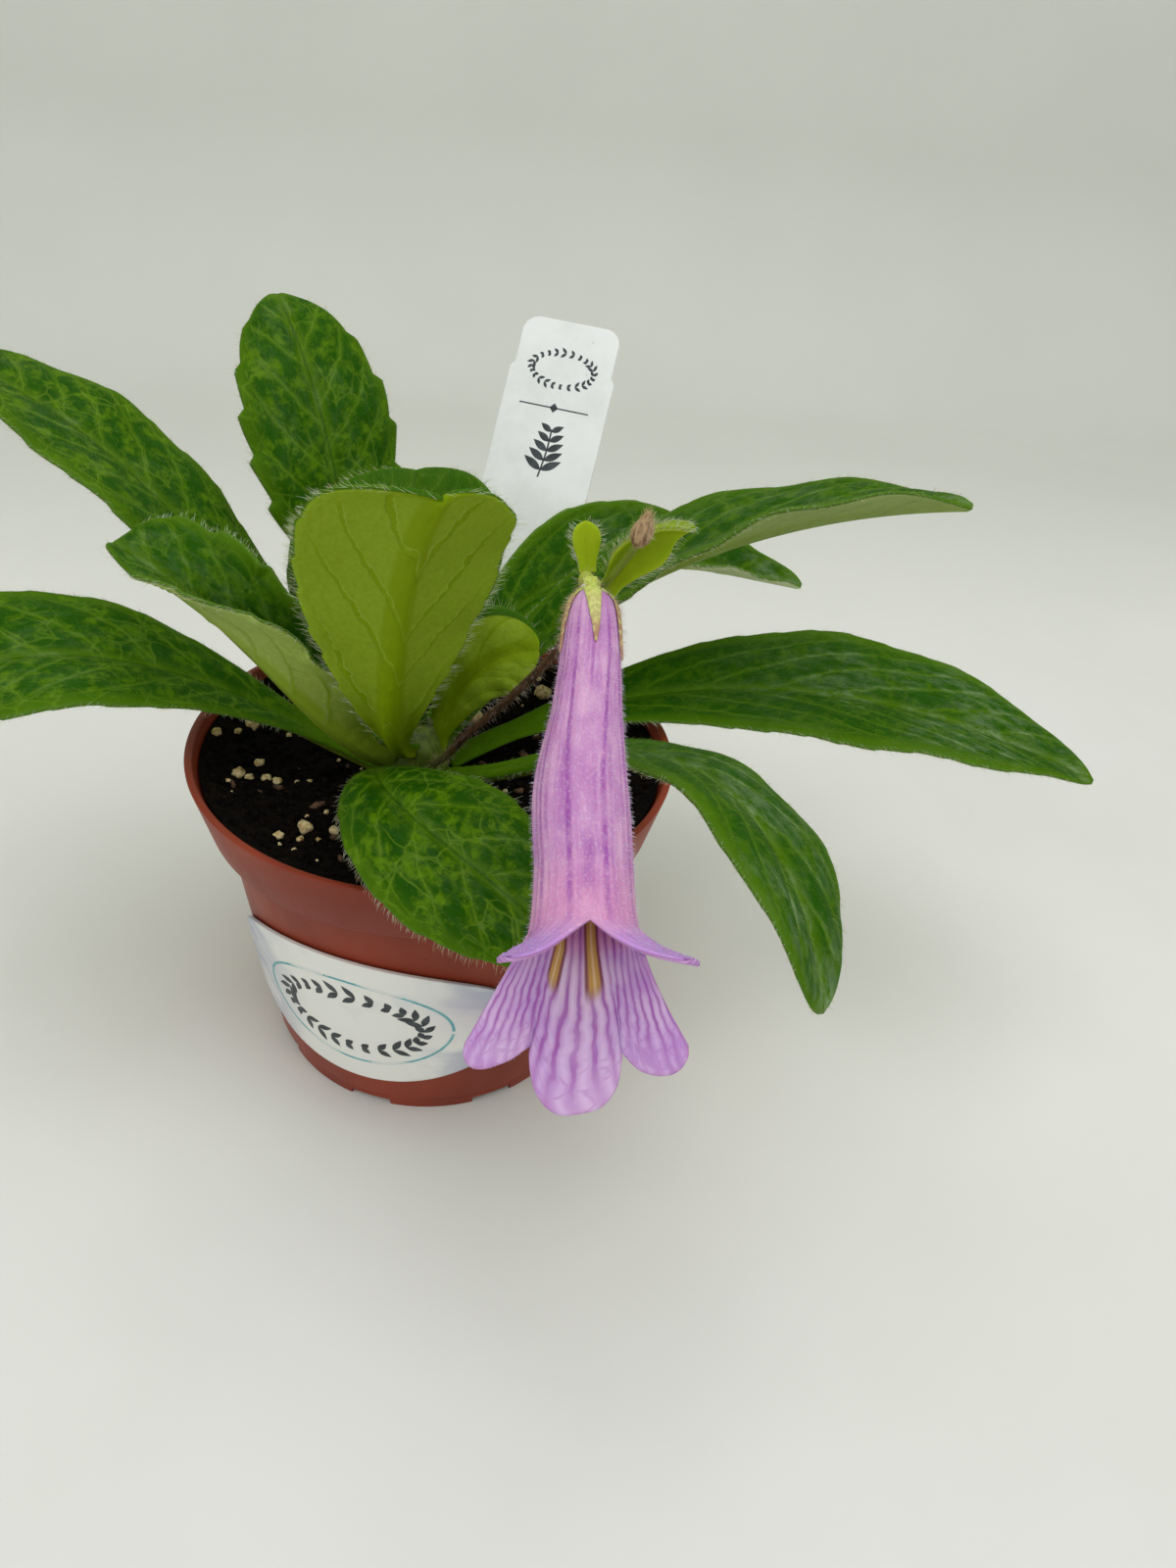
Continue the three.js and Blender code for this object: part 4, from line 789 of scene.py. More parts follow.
def haired(name, base, where, comb, density, lengths, width, finish, slot, stray, parts, seed):
    """Hairs on a piece. Density is hairs a square millimetre; lengths and width in millimetres."""
    hairs.on(name, base.data, {
        "Density": density * 1e6, "Where": where, "Comb": comb, "Shortest": lengths[0] / 1000,
        "Longest": lengths[1] / 1000, "Width": width / 1000, "Stray": stray, "Parts": parts,
        "Seed": seed}, finish, slot)


leaf_down = hair_finish("leaf_hair", (196, 204, 150), (238, 236, 204))
short_down = hair_finish("leaf_down", (88, 128, 20), (144, 170, 66))
for order, (name, blade) in enumerate(blades.items()):
    young = name in YOUNG
    slot = "young_leaf" if young else "leaf"
    haired(name + "_down", blade, "upper", "comb", 1.4 if young else 1.0, (0.4, 1.0), 0.018,
           short_down, slot, 0.35, 1, 20 + order)
    haired(name + "_fringe", blade, "fringe", "comb_edge", 6.5, (0.5, 2.0 if young else 1.4),
           0.03, leaf_down, slot, 0.35, 2, 40 + order)

# ---- Flower stalk -------------------------------------------------------------------------
# A thin arching stalk, red-brown and hairy, that swells where the bracts and the flower join.
STALK_PATH = [
    [-0.6, 0.4, 51], [1.6, -3, 54.8], [4.8, -5.6, 60.6], [8.4, -8.4, 66.2], [13.9, -15.2, 77.1],
    [16.2, -19.2, 83], [17.8, -23, 90], [18.3, -24.4, 94.2], [18.2, -25.7, 96.2],
    [18.1, -26.9, 97.1],
]


def smooth_path(knots, count):
    """Evenly spaced points on a smooth curve through the knots."""
    knots = np.asarray(knots, float)
    ends = np.vstack([2 * knots[0] - knots[1], knots, 2 * knots[-1] - knots[-2]])
    points = []
    for k in range(len(knots) - 1):
        p0, p1, p2, p3 = ends[k:k + 4]
        d0, d1, d2 = (max(np.linalg.norm(b - a), 1e-6) ** 0.5
                      for a, b in ((p0, p1), (p1, p2), (p2, p3)))
        m1 = ((p1 - p0) / d0 - (p2 - p0) / (d0 + d1) + (p2 - p1) / d1) * d1
        m2 = ((p2 - p1) / d1 - (p3 - p1) / (d1 + d2) + (p3 - p2) / d2) * d1
        for s in np.linspace(0, 1, 24, endpoint=False):
            points.append((2 * s ** 3 - 3 * s * s + 1) * p1 + (s ** 3 - 2 * s * s + s) * m1
                          + (3 * s * s - 2 * s ** 3) * p2 + (s ** 3 - s * s) * m2)
    points = np.array(points + [knots[-1]])
    walked = np.concatenate([[0], np.cumsum(np.linalg.norm(np.diff(points, axis=0), axis=1))])
    even = np.linspace(0, walked[-1], count)
    return np.stack([np.interp(even, walked, column) for column in points.T], 1)


def round_stem(knots, radius_at, steps, sides):
    """A round stem along a path, with the fields that its hairs need."""
    path = smooth_path(knots, steps + 1)
    way = np.gradient(path, axis=0)
    way /= np.linalg.norm(way, axis=1, keepdims=True)
    across = np.cross(way[0], (0.3, 0.9, 0.31))
    turns = circle(sides)[:, None]
    rings, outs = [], []
    for k, (centre, ahead) in enumerate(zip(path, way)):
        across = across - ahead * across.dot(ahead)
        across /= np.linalg.norm(across)
        outs.append(np.cos(turns) * across + np.sin(turns) * np.cross(ahead, across))
        rings.append(centre + outs[-1] * radius_at(k / steps))
    share = np.repeat(np.linspace(0, 1, steps + 1), sides)
    return lofted(rings), {
        "comb": np.vstack([np.array(outs).reshape(-1, 3), -way[:1], way[-1:]]),
        "share": np.concatenate([share, [0, 1]]), "all": np.ones(len(share) + 2)}


stalk_skin = Finish("stalk_skin", 0.6, glow=0.12)
streaks = stalk_skin.noise(1.1, 4, 0.6)
up_stalk = stalk_skin.field("share")
stalk_skin.coat((92, 58, 32))
stalk_skin.coat((56, 34, 18), streaks.rise(0.35, 0.65))
stalk_skin.coat((164, 176, 60), up_stalk.rise(0.9, 0.96))
stalk_skin.coat((116, 116, 60), up_stalk.rise(0.2, 0.02))
stalk_skin.relief(streaks, 0.12, 0.7)
form, fields = round_stem(STALK_PATH, lambda t: 0.62 + 0.3 * ramp(t, 0.93, 0.05), 110, 20)
stalk = made("flower_stalk_skin", form, stalk_skin, fields, node="flower_stalk", slot="stalk")
stalk_down = hair_finish("stalk_hair", (184, 140, 118), (228, 200, 184))
haired("flower_stalk_down", stalk, "all", "comb", 2.6, (0.6, 1.3), 0.018, stalk_down, "stalk",
       0.2, 2, 60)

# ---- Bracts -------------------------------------------------------------------------------
# Two leafy bracts under the flower, yellow-green: a small flat one and a long folded one.
BRACTS = {
    "bract_left": leaf(
        (18.8, -22.6, 95.9), (102, 90), (50, 66, 60), (0, 0), 6.4, 1.9, 0.66, 1.15,
        15, 0, 2.2, 0, 0, 0.3, 0, keel=0.2),
    "bract_right": leaf(
        (20.74, -25.2, 94.42), (-2.8, -8.1), (54, 56, -31), (69.5, 150.6), 15.5, 3.95, 0.52, 1.4,
        33.5, 0, 2, 0, 0, 0.3, 0, keel=0.3),
}
FRINGE = {"bract_left": (34, 1.2), "bract_right": (22, 1.7)}  # how dense, and longest hair
bract_skin = leaf_skin(
    "bract_skin", ((138, 162, 20), (162, 180, 28), (112, 142, 14)),
    ((144, 166, 22), (164, 184, 44), (122, 148, 16), (164, 184, 44)),
    (96, 126, 16), (186, 194, 84), (180, 194, 70), glow=0.35)
bract_down = hair_finish("bract_hair", (206, 206, 150), (240, 238, 214))
for order, (name, measures) in enumerate(BRACTS.items()):
    form, fields = blade_form(measures, 70, 28, 2.2, 30 + order)
    fields["under"] = 1 - fields["upper"]
    blade = made(name + "_blade", form, bract_skin, fields, node=name, slot="bract")
    density, longest = FRINGE[name]
    haired(name + "_fringe", blade, "fringe", "comb_edge", density, (0.6, longest), 0.03,
           bract_down, "bract", 0.35, 2, 70 + order)
    haired(name + "_down", blade, "under", "comb", 4, (0.5, 1.2), 0.026, bract_down, "bract",
           0.4, 1, 74 + order)

# ---- Side bud -----------------------------------------------------------------------------
# A second flower bud, still closed: tan and streaked with brown, with a tuft of hair.
BUD_PATH = [[19.8, -26.7, 95.2], [20.9, -27.4, 97.4], [22.4, -28.4, 100.4], [23.3, -29.8, 103],
            [23.9, -30.5, 105.6], [24.2, -30.6, 107.4]]


def bud_radius(t):
    opened = ramp(t, 0.66, 0.34)
    return 0.45 * (1 - 0.4 * opened) + 0.95 * math.sin(math.pi * opened ** 0.8)


bud_skin = Finish("bud_skin", 0.6, glow=0.1)
streaks = bud_skin.noise(0.7, 4, 0.6, bud_skin.stretched((1, 1, 0.3)))
closed = bud_skin.field("share").rise(0.6, 0.72)
bud_skin.coat((178, 150, 110))
bud_skin.coat((104, 72, 50), streaks.rise(0.45, 0.62) * 0.85)
bud_skin.coat((112, 130, 26), 1 - closed)
bud_skin.relief(streaks, 0.15, 0.8)
form, fields = round_stem(BUD_PATH, bud_radius, 60, 20)
fields["closed"] = ramp(fields["share"], 0.62, 0.1)
fields["tip"] = ramp(fields["share"], 0.9, 0.06)
fields["comb_tip"] = fields["comb"] * 0.5 + (0.1, 0, 1)
bud = made("side_bud_skin", form, bud_skin, fields, node="side_bud", slot="bract")
bud_down = hair_finish("bud_hair", (196, 170, 110), (232, 216, 170))
haired("side_bud_down", bud, "closed", "comb", 5, (0.3, 0.7), 0.02, bud_down, "bract", 0.3, 2, 80)
haired("side_bud_tuft", bud, "tip", "comb_tip", 16, (0.4, 1.0), 0.026, bud_down, "bract",
       0.35, 2, 82)

# ---- Corolla ------------------------------------------------------------------------------
# One petal tube, narrow behind and belled in front. Three round lobes make its flat lower lip
# and two short ones turn back above. Lilac, with purple veins and two ochre bars in the throat.
TUBE_START, TUBE_END = np.array([18, -29.8, 96.2]), np.array([16, -66.5, 74.6])
TUBE_LINE = [  # millimetres along the tube, its radius and how far its middle lies aside
    [0, 1.2, 0.5], [0.6, 1.9, 0.55], [1.8, 2.5, 0.58], [4.2, 2.98, 0.52], [7.3, 3.22, 0.46],
    [10.4, 3.4, 0.35], [13.2, 3.6, 0.15], [16.2, 3.83, -0.04], [19, 4.2, -0.24],
    [21.9, 4.57, -0.45], [24.7, 4.9, -0.57], [27.5, 5.12, -0.6], [31, 5.16, -0.5],
    [34.9, 5.08, -0.32], [38.6, 5.2, -0.25], [40.9, 5.35, -0.2], [42.63, 5.65, -0.15],
]
LIP_OUTLINE = [  # each lower lobe, left to right: along from the mouth and aside
    [[9.7, -12.1], [11.3, -12.4], [12.3, -11.8], [12.6, -10.3], [12.1, -8.5], [11.2, -6.8],
     [9.9, -5.2]],
    [[9.9, -5.2], [12.4, -5.3], [14.6, -4.8], [16.3, -3.6], [17.2, -1.9], [17.0, 0], [16.4, 2.2],
     [14.6, 3.8], [12.2, 4.4], [9.8, 4.2]],
    [[9.8, 4.2], [11.5, 5.3], [12.6, 6.9], [13, 8.7], [12.5, 10.5], [11.2, 11.6], [9.6, 11.8]],
]
UPPER_TIPS = {1: (3.6, 11.2, 3.4), -1: (3.6, -9.2, 2.6)}  # along, aside and upward
PETAL, PETAL_EDGE = 0.3, 0.12  # half the thickness, and at the edge
PART = 24  # points across one lobe
TUBE_ROWS, LIP_ROWS, UPPER_ROWS = 70, 44, 26

forward = (TUBE_END - TUBE_START) / np.linalg.norm(TUBE_END - TUBE_START)
dorsal = np.array([0, 0, 1]) - forward * forward[2]
dorsal /= np.linalg.norm(dorsal)
lateral = np.cross(dorsal, forward)
tube_length = np.linalg.norm(TUBE_END - TUBE_START)
tube_line = smooth_path(TUBE_LINE, 400)


def in_flower(along, aside, upward):
    """Points given along the tube, to its side and towards its upper lip."""
    along, aside, upward = np.broadcast_arrays(along, aside, upward)
    return (TUBE_START + along[..., None] * forward + aside[..., None] * lateral
            + upward[..., None] * dorsal)


def tube_radius(along):
    return np.interp(along, tube_line[:, 0], tube_line[:, 1])


def round_tube(along, radius, angle):
    """Points round the tube at an angle, 90 degrees being towards the upper lip."""
    middle = np.interp(along, tube_line[:, 0], tube_line[:, 2])
    return in_flower(along, middle + radius * np.cos(angle), radius * np.sin(angle))


around = 5 * PART
petal_points, petal_faces, stripes, reach = [], [], [], []


def put(points, stripe, distance):
    """Adds a row of points and gives back where they are in the list."""
    first = sum(len(row) for row in petal_points)
    petal_points.append(np.asarray(points))
    stripes.append(np.asarray(stripe, float))
    reach.append(np.broadcast_to(np.asarray(distance, float), (len(points),)))
    return list(range(first, first + len(points)))


def stitched(near, far):
    """Joins two rows of points with faces and goes on from the far one."""
    for k in range(len(near) - 1):
        petal_faces.append([near[k], far[k], far[k + 1], near[k + 1]])
    return far


k = np.arange(around)
ring_angle = np.radians(-198 + 360 * k / around)
mouth = None
for i in range(TUBE_ROWS + 1):
    along = tube_length * (i / TUBE_ROWS) ** 1.25
    flute = 1 + 0.012 * math.sin(math.pi * i / TUBE_ROWS) * np.cos(10 * ring_angle + 1)
    flute += 0.01 * math.sin(i / 4) * np.cos(3 * ring_angle)
    row = put(round_tube(along, tube_radius(along) * flute, ring_angle), k * 4 / PART, along)
    if mouth:
        stitched(mouth + mouth[:1], row + row[:1])
    mouth = row

# The lower lip: each line of it runs from the mouth to the outline, falling fast at the sides
outline = []
for part in LIP_OUTLINE:
    line = smooth_path(part, PART + 1)
    outline.append(line if not outline else line[1:])
lip_along, lip_aside = np.vstack(outline).T
lip_columns = 3 * PART
row = mouth[:lip_columns + 1]
start = (np.vstack(petal_points)[row] - TUBE_END) @ np.stack([forward, lateral, dorsal], 1)
column = np.linspace(-1, 1, lip_columns + 1)
lobe_share = np.abs((np.linspace(0, 3, lip_columns + 1) % 1) * 2 - 1)
lobe_share[-1] = 1
for i in range(1, LIP_ROWS + 1):
    w = i / LIP_ROWS
    fall = 1 - (1 - w) ** (1.2 + 2 * np.abs(column))
    along = start[:, 0] + (lip_along - start[:, 0]) * w ** (1 + 0.35 * np.abs(column))
    aside = start[:, 1] + (lip_aside - start[:, 1]) * w ** 1.08
    end_up = -6.9 - 0.9 * (lip_along - 10) / 7 - 0.55 * lobe_share ** 2 * w ** 2
    upward = start[:, 2] + (end_up - start[:, 2]) * fall
    upward = upward + 0.16 * w ** 4 * np.sin(9 * math.pi * column + 1)
    row = stitched(row, put(in_flower(tube_length + along, aside, upward), (column + 1) * 6,
                            tube_length + 17 * w))

# The upper lobes: each runs on from its share of the mouth, widens a little and ends round
lobe_way = np.array([0.418, -0.085, 0.905])
a = np.linspace(-1, 1, PART + 1)[:, None]
for hand, tip in UPPER_TIPS.items():
    first = lip_columns + (0 if hand > 0 else PART)
    near = [mouth[(first + n) % around] for n in range(PART + 1)]
    points = np.vstack(petal_points)[near]
    root = points[PART // 2]
    direction = in_flower(tube_length + tip[0], tip[1], tip[2]) - root
    length = np.linalg.norm(direction)
    direction /= length
    side = points[-1] - points[0]
    half = np.linalg.norm(side) / 2
    side = side * 0.2 / half + hand * 0.9 * (in_flower(*lobe_way) - TUBE_START)
    side = side - direction * side.dot(direction)
    side /= np.linalg.norm(side)
    for i in range(1, UPPER_ROWS + 1):
        b = math.sin(math.pi / 2 * i / UPPER_ROWS)
        width = max(half * (1 + 0.15 * math.sin(math.pi * b)) * (1 - b ** 2.6) ** 0.5, 0.12)
        lag = (points - root - side * half * a) * (1 - b) ** 1.3
        bow = 0.7 * math.sin(math.pi * b) + 0.25 * math.sin(5 * b) * a * (1 - b)
        near = stitched(near, put(
            root + side * width * a + lag + direction * length * (b - 0.1 * a * a * b)
            + np.cross(direction, side) * bow,
            np.linspace(12, 16, PART + 1) + (0 if hand > 0 else 4), tube_length + length * b))

sheet = np.vstack(petal_points)
stripes, reach = np.concatenate(stripes), np.concatenate(reach)
quads = np.array(petal_faces)
flat = np.cross(sheet[quads[:, 2]] - sheet[quads[:, 0]], sheet[quads[:, 3]] - sheet[quads[:, 1]])
normal = np.zeros_like(sheet)
for corner in range(4):
    np.add.at(normal, quads[:, corner], flat)
normal /= np.linalg.norm(normal, axis=1, keepdims=True)
ways = {(face[k], face[(k + 1) % 4]) for face in petal_faces for k in range(4)}
edges = [(a, b) for a, b in ways if (b, a) not in ways]
on_edge = np.zeros(len(sheet))
on_edge[[a for pair in edges for a in pair]] = 1
thick = np.where(on_edge > 0, PETAL_EDGE, PETAL)[:, None]
count = len(sheet)
petal_skin = petal_faces + [[n + count for n in face[::-1]] for face in petal_faces]
petal_skin += [[b, a, a + count, b + count] for a, b in edges]
outside = np.repeat([1.0, 0.0], count)
tube_point = around * 30
if normal[tube_point] @ (sheet[tube_point] - sheet[tube_point + around // 2]) < 0:
    outside = 1 - outside
fields = {"stripe": np.tile(stripes, 2), "reach": np.tile(reach, 2), "outside": outside,
          "comb": np.vstack([normal, -normal]) + forward * 0.35}
fields["petal"] = np.stack([fields["reach"], fields["stripe"] * 1.9, outside * 30], 1) / 1000

petals = Finish("petal", 0.6, 0.25, 0.3, 1.5)
chart = petals.chart("petal")
stripe, run, outer = (petals.field(key) for key in ("stripe", "reach", "outside"))
inner = 1 - outer
waver = (petals.noise(4, 2, 0.5, chart) - 0.5) * 0.45
soft = petals.noise(5, 3, 0.55, chart)
streaky = petals.noise(1.1, 3, 0.6, petals.stretched((0.12, 1, 1), chart)).rise(0.35, 0.65)
from_middle = abs(stripe - 6)
petals.coat(petals.mix((212, 184, 222), (194, 154, 212), soft.rise(0.35, 0.7)))
petals.coat((232, 212, 230), run.rise(54, 44) * from_middle.rise(2.4, 1.0) * 0.8)
lobe_colour = petals.colour
petals.coat((194, 136, 192))
petals.coat((218, 170, 208), soft.rise(0.35, 0.65))
petals.coat((184, 116, 186), streaky * 0.4)
petals.coat((222, 152, 190), run.rise(34, 40) * run.rise(46, 41) * 0.5)
petals.coat(lobe_colour, run.rise(41, 45) * inner)
petals.coat(petals.mix((196, 152, 214), (178, 132, 220), soft), run.rise(42, 47) * outer)

# Purple lines: close on the lobes, in pairs along the outside of the tube, and a fine net
lobe_waver = (petals.noise(2.8, 2, 0.5, chart) - 0.5) * run.rise(44, 52)
lines = ((stripe - 0.286) / 0.571 + waver + lobe_waver).to_line()
uneven = petals.noise(6, 3, 0.6, chart).rise(0.25, 0.6) * 0.35 + 0.65
crisp = lines.rise(0.3, 0.06) * uneven * (1 - run.rise(54, 59) * 0.5)
halo = lines.rise(0.5, 0.15) * uneven * 0.4
marks = crisp.largest(halo) * run.rise(28, 40) * inner * (0.75 + streaky * 0.25)
side = abs(stripe - 16)
pair = abs(side - 1.75 + run.rise(8, 30) * 0.6 + waver * 0.25).rise(0.34, 0.02)
second = abs(side - 3.3 + waver * 0.3).rise(0.34, 0.02) * 0.7
median = side.rise(0.3, 0.02) * run.rise(18, 10)
median = median + side.rise(0.75, 0.1) * run.rise(31, 35) * run.rise(41, 37) * 0.8
faint = (stripe / 1.1 + waver).to_line().rise(0.25, 0.0) * streaky * 0.45
tube_lines = pair.largest(second).largest(median).largest(faint) * outer
tube_lines = tube_lines * run.rise(46, 39) * run.rise(1, 6)
tube_lines = tube_lines * (petals.noise(3, 3, 0.6, chart).rise(0.3, 0.6) * 0.6 + 0.4)
net = petals.cells(1.6, petals.stretched((0.8, 1, 1), petals.bent(chart, 2.2, 0.6)))
net = net.rise(0.1, 0.01) * run.rise(52, 56) * 0.36
marks = marks.largest(tube_lines * 0.95).largest(net * inner)
marks = marks.largest(crisp * outer * run.rise(45, 49) * 0.3)
marks = marks.largest(from_middle.rise(3.2, 5.4) * run.rise(55, 45) * inner * 0.62)
petals.coat((150, 62, 164), marks * 0.86)
petals.coat((232, 204, 228), petals.noise(0.4, 2, 0.6, chart).rise(0.5, 0.68) * outer * 0.3)
bar = abs(abs(stripe - 5.65) - 1.08)
reached = (run + waver * 3).rise(48.9, 46.4) * run.rise(26, 32) * inner
petals.coat((128, 62, 56), bar.rise(0.56, 0.42) * reached * 0.9)
petals.coat((198, 158, 84), bar.rise(0.38, 0.22) * reached)
petals.coat((226, 202, 160), bar.rise(0.13, 0.0) * reached * 0.75)
petals.relief(streaky * 0.4 + crisp * 0.5 + petals.noise(0.5, 2, 0.5, chart) * 0.4, 0.12, 0.6)
corolla = made(
    "corolla_petals", (np.vstack([sheet + normal * thick, sheet - normal * thick]), petal_skin),
    petals, fields, node="corolla", slot="petal")
petal_down = hair_finish("petal_hair", (226, 196, 228), (248, 236, 248))
haired("corolla_down", corolla, "outside", "comb", 3.6, (0.25, 0.6), 0.02, petal_down, "petal",
       0.25, 1, 90)

# ---- Calyx --------------------------------------------------------------------------------
# A small green knob at the back of the tube with five narrow sepals lying along it, turning
# tan towards their points.
CUP = [[-2.5, 0.1], [-2.4, 0.75], [-2.0, 1.05], [-1.3, 1.05], [-0.6, 1.15], [0.1, 1.5], [0.7, 1.9]]
SEPALS = [[90, 8.6], [18, 9.6], [162, 8.6], [-54, 8.5], [-126, 8.5]]  # bearing and length
CUP_ROWS, CUP_AROUND, SEPAL_ROWS, SEPAL_AROUND = 26, 60, 34, 20
cup_line = smooth_path(CUP, CUP_ROWS)
turns = circle(CUP_AROUND)
bumps = np.random.default_rng(5).uniform(-0.13, 0.13, (CUP_ROWS, CUP_AROUND))
bumps = (bumps + np.roll(bumps, 1, 0) + np.roll(bumps, 1, 1)) / 1.6
cup_rings = [round_tube(a, r * (1 + 0.05 * np.cos(5 * turns)) + bumps[n], turns)
             for n, (a, r) in enumerate(cup_line)]
cup_rings += [round_tube(a + 0.15, max(r - 0.4, 0.05), turns) for a, r in cup_line[::-3]]
calyx_forms = [lofted(cup_rings)]
turns = circle(SEPAL_AROUND)
for bearing, length in SEPALS:
    rings = []
    for share in np.linspace(0, 1, SEPAL_ROWS):
        along = -0.3 + (length + 0.3) * share
        half = 1.05 * (1 - share) ** 0.8 + 0.1
        radius = max(tube_radius(along) + PETAL, 1.0) + 0.14 + 0.12 * (1 - share)
        swing = math.radians(bearing + 4 * math.sin(3 * share + bearing))
        keel = 0.1 * np.exp(-((np.cos(turns) / 0.3) ** 2)) * (np.sin(turns) > 0)
        lift = radius + np.sin(turns) * (0.13 - 0.03 * share) + keel
        rings.append(round_tube(along, lift, swing + np.cos(turns) * half / radius))
    calyx_forms.append(lofted(rings))
calyx_form = gathered(calyx_forms)
offset = calyx_form[0] - in_flower(0, 0.55, 0)
out = offset - np.outer(offset @ forward, forward)
out /= np.maximum(np.linalg.norm(out, axis=1, keepdims=True), 0.2)
from_ridge = np.abs(out @ lateral)
calyx_skin = Finish("calyx_skin", 0.6, glow=0.15)
run = calyx_skin.field("reach")
spots = calyx_skin.noise(0.7, 4, 0.6)
edge = calyx_skin.field("aside").rise(0.3, 0.8) * run.rise(0, 2)
calyx_skin.coat((192, 206, 84))
calyx_skin.coat((194, 188, 116), run.rise(0, 3))
calyx_skin.coat((180, 136, 108), run.rise(4.0, 7.5).largest(edge))
calyx_skin.coat((224, 228, 142), spots.rise(0.45, 0.62) * 0.6)
calyx_skin.relief(spots, 0.3, 0.9)
calyx = made("calyx_cup", calyx_form, calyx_skin, {
    "reach": offset @ forward, "comb": out + forward * 0.25, "aside": from_ridge,
    "hairy": ramp(from_ridge, 0.3, 0.4) + 0.12}, node="calyx", slot="calyx")
haired("calyx_down", calyx, "hairy", "comb", 5, (0.4, 1.0), 0.02, stalk_down, "calyx", 0.4, 2, 95)

# ---- Pistil and stamens -------------------------------------------------------------------
# Inside the tube: a long pale style with a blunt end, and two filaments that meet at their
# yellowish anthers.
PISTIL_PATH = [[-1.3, 0, 0], [12, 0, 0.2], [28, 0, 1.2], [36, 0, 2]]
FILAMENT_PATH = [[17, 1.6, -2.6], [22, 2.2, -0.4], [26, 1.4, 2.4], [28, 0, 3.6]]


def organ_skin(name, rough, glow, grain, detail, first, second, depth):
    """The smooth, faintly uneven skin of a part inside the flower."""
    skin = Finish(name, rough, glow=glow)
    tint = skin.noise(grain, detail)
    skin.coat(first)
    skin.coat(second, tint.rise(0.4, 0.7))
    skin.relief(tint, depth, 0.6)
    return skin


style_skin = organ_skin("pistil_skin", 0.5, 0.2, 1.2, 3, (230, 226, 204), (206, 196, 176), 0.08)
form, fields = round_stem(
    [in_flower(*p) for p in PISTIL_PATH],
    lambda t: 0.45 + 0.35 * (max(1 - t / 0.27, 0) ** 0.4 + max(1 - (1 - t) / 0.05, 0) ** 0.4),
    70, 14)
made("pistil_style", form, style_skin, fields, node="pistil", slot="pistil")

ANTHERS_AT, ANTHER_ACROSS, ANTHER_DEEP = (28.3, -0.4, 3.3), 0.88, 0.68
anther_skin = organ_skin("stamen_skin", 0.55, 0.15, 0.6, 4, (240, 230, 186), (222, 206, 150), 0.1)
stamen_forms = []
for hand in (-1, 1):
    filament = [in_flower(a, hand * s - 0.4, d - 0.3) for a, s, d in FILAMENT_PATH]
    stamen_forms.append(round_stem(filament, lambda t: 0.35 - 0.08 * t, 40, 10)[0])
    anther = []
    for s in np.linspace(-1, 1, 15):
        width = math.sqrt(max(1 - s * s, 0.004))
        anther.append(in_flower(
            ANTHERS_AT[0] + ANTHER_ACROSS * width * np.cos(circle(16)),
            hand * 0.9 + ANTHER_ACROSS * s + ANTHERS_AT[1],
            ANTHERS_AT[2] + ANTHER_DEEP * width * np.sin(circle(16))))
    stamen_forms.append(lofted(anther))
made("stamen_pair", gathered(stamen_forms), anther_skin, node="stamens", slot="stamen")

# ---- Plant tag ----------------------------------------------------------------------------
# A flat white plastic stake, leaning back in the soil. It is printed with a plain garland, a
# ruled line and a sprig; the print is a thin layer of ink on its front.
TAG_FOOT, TAG_TURN, TAG_LEAN_BACK, TAG_LEAN_SIDE = (9.1, 28.4, 48), 16.8, 35, 3.4
TAG_OUTLINE = [[1.5, -20], [4, 9], [9.85, 37], [9.85, 59.6], [9.1, 60.6], [9.1, 66.4]]
TAG_TOP, TAG_CORNER, TAG_FACE = 69.4, 3, -0.3
tag_turn = (Matrix.Rotation(-math.radians(TAG_TURN), 3, "Z")
            @ Matrix.Rotation(-math.radians(TAG_LEAN_BACK), 3, "X")
            @ Matrix.Rotation(math.radians(TAG_LEAN_SIDE), 3, "Y"))


def on_tag(points):
    """From across, height and depth on the tag to its place in the plant."""
    points = np.asarray(points, float)
    return points[:, [0, 2, 1]] @ np.array(tag_turn).T + TAG_FOOT


def plate(outline, front, back, bevel):
    """Rings of a flat plate with small bevels, from its outline and the depths of its faces."""
    ahead = np.roll(outline, -1, 0) - np.roll(outline, 1, 0)
    inward = np.stack([-ahead[:, 1], ahead[:, 0]], 1) / np.linalg.norm(ahead, axis=1, keepdims=True)
    if (inward * (outline.mean(0) - outline)).sum() < 0:
        inward = -inward
    small = outline + inward * bevel
    layers = [(small, front), (outline, front + bevel), (outline, back - bevel), (small, back)]
    return [np.column_stack([line, np.full(len(line), depth)]) for line, depth in layers]


def ended(rings):
    """A skin through rings that ends in flat faces."""
    points, faces = lofted(rings, closed_ends=False)
    around = len(rings[0])
    return points, faces + [list(range(around))[::-1],
                            list(range(len(points) - around, len(points)))]


tag_plastic = Finish("tag_plastic", 0.38)
wear = tag_plastic.noise(9, 4, 0.6)
tag_plastic.coat((240, 243, 241))
tag_plastic.coat((228, 232, 229), wear.rise(0.35, 0.7))
tag_plastic.coat((176, 170, 156), tag_plastic.noise(1.1, 3).rise(0.7, 0.78) * 0.5)
tag_plastic.set("Roughness", wear * 0.2 + 0.28)
tag_plastic.relief(tag_plastic.noise(0.6, 2), 0.03, 0.5)
half_outline = TAG_OUTLINE + [
    [9.1 - TAG_CORNER + TAG_CORNER * math.cos(a), TAG_TOP - TAG_CORNER + TAG_CORNER * math.sin(a)]
    for a in np.linspace(0.15, math.pi / 2, 8)]
outline = np.array(half_outline + [[-x, y] for x, y in half_outline[::-1]])
tag_rings = [on_tag(layer) for layer in plate(outline, TAG_FACE, -TAG_FACE, 0.12)]
made("plant_tag_plate", ended(tag_rings), tag_plastic, sharp=25, node="plant_tag",
     slot="tag_plastic")


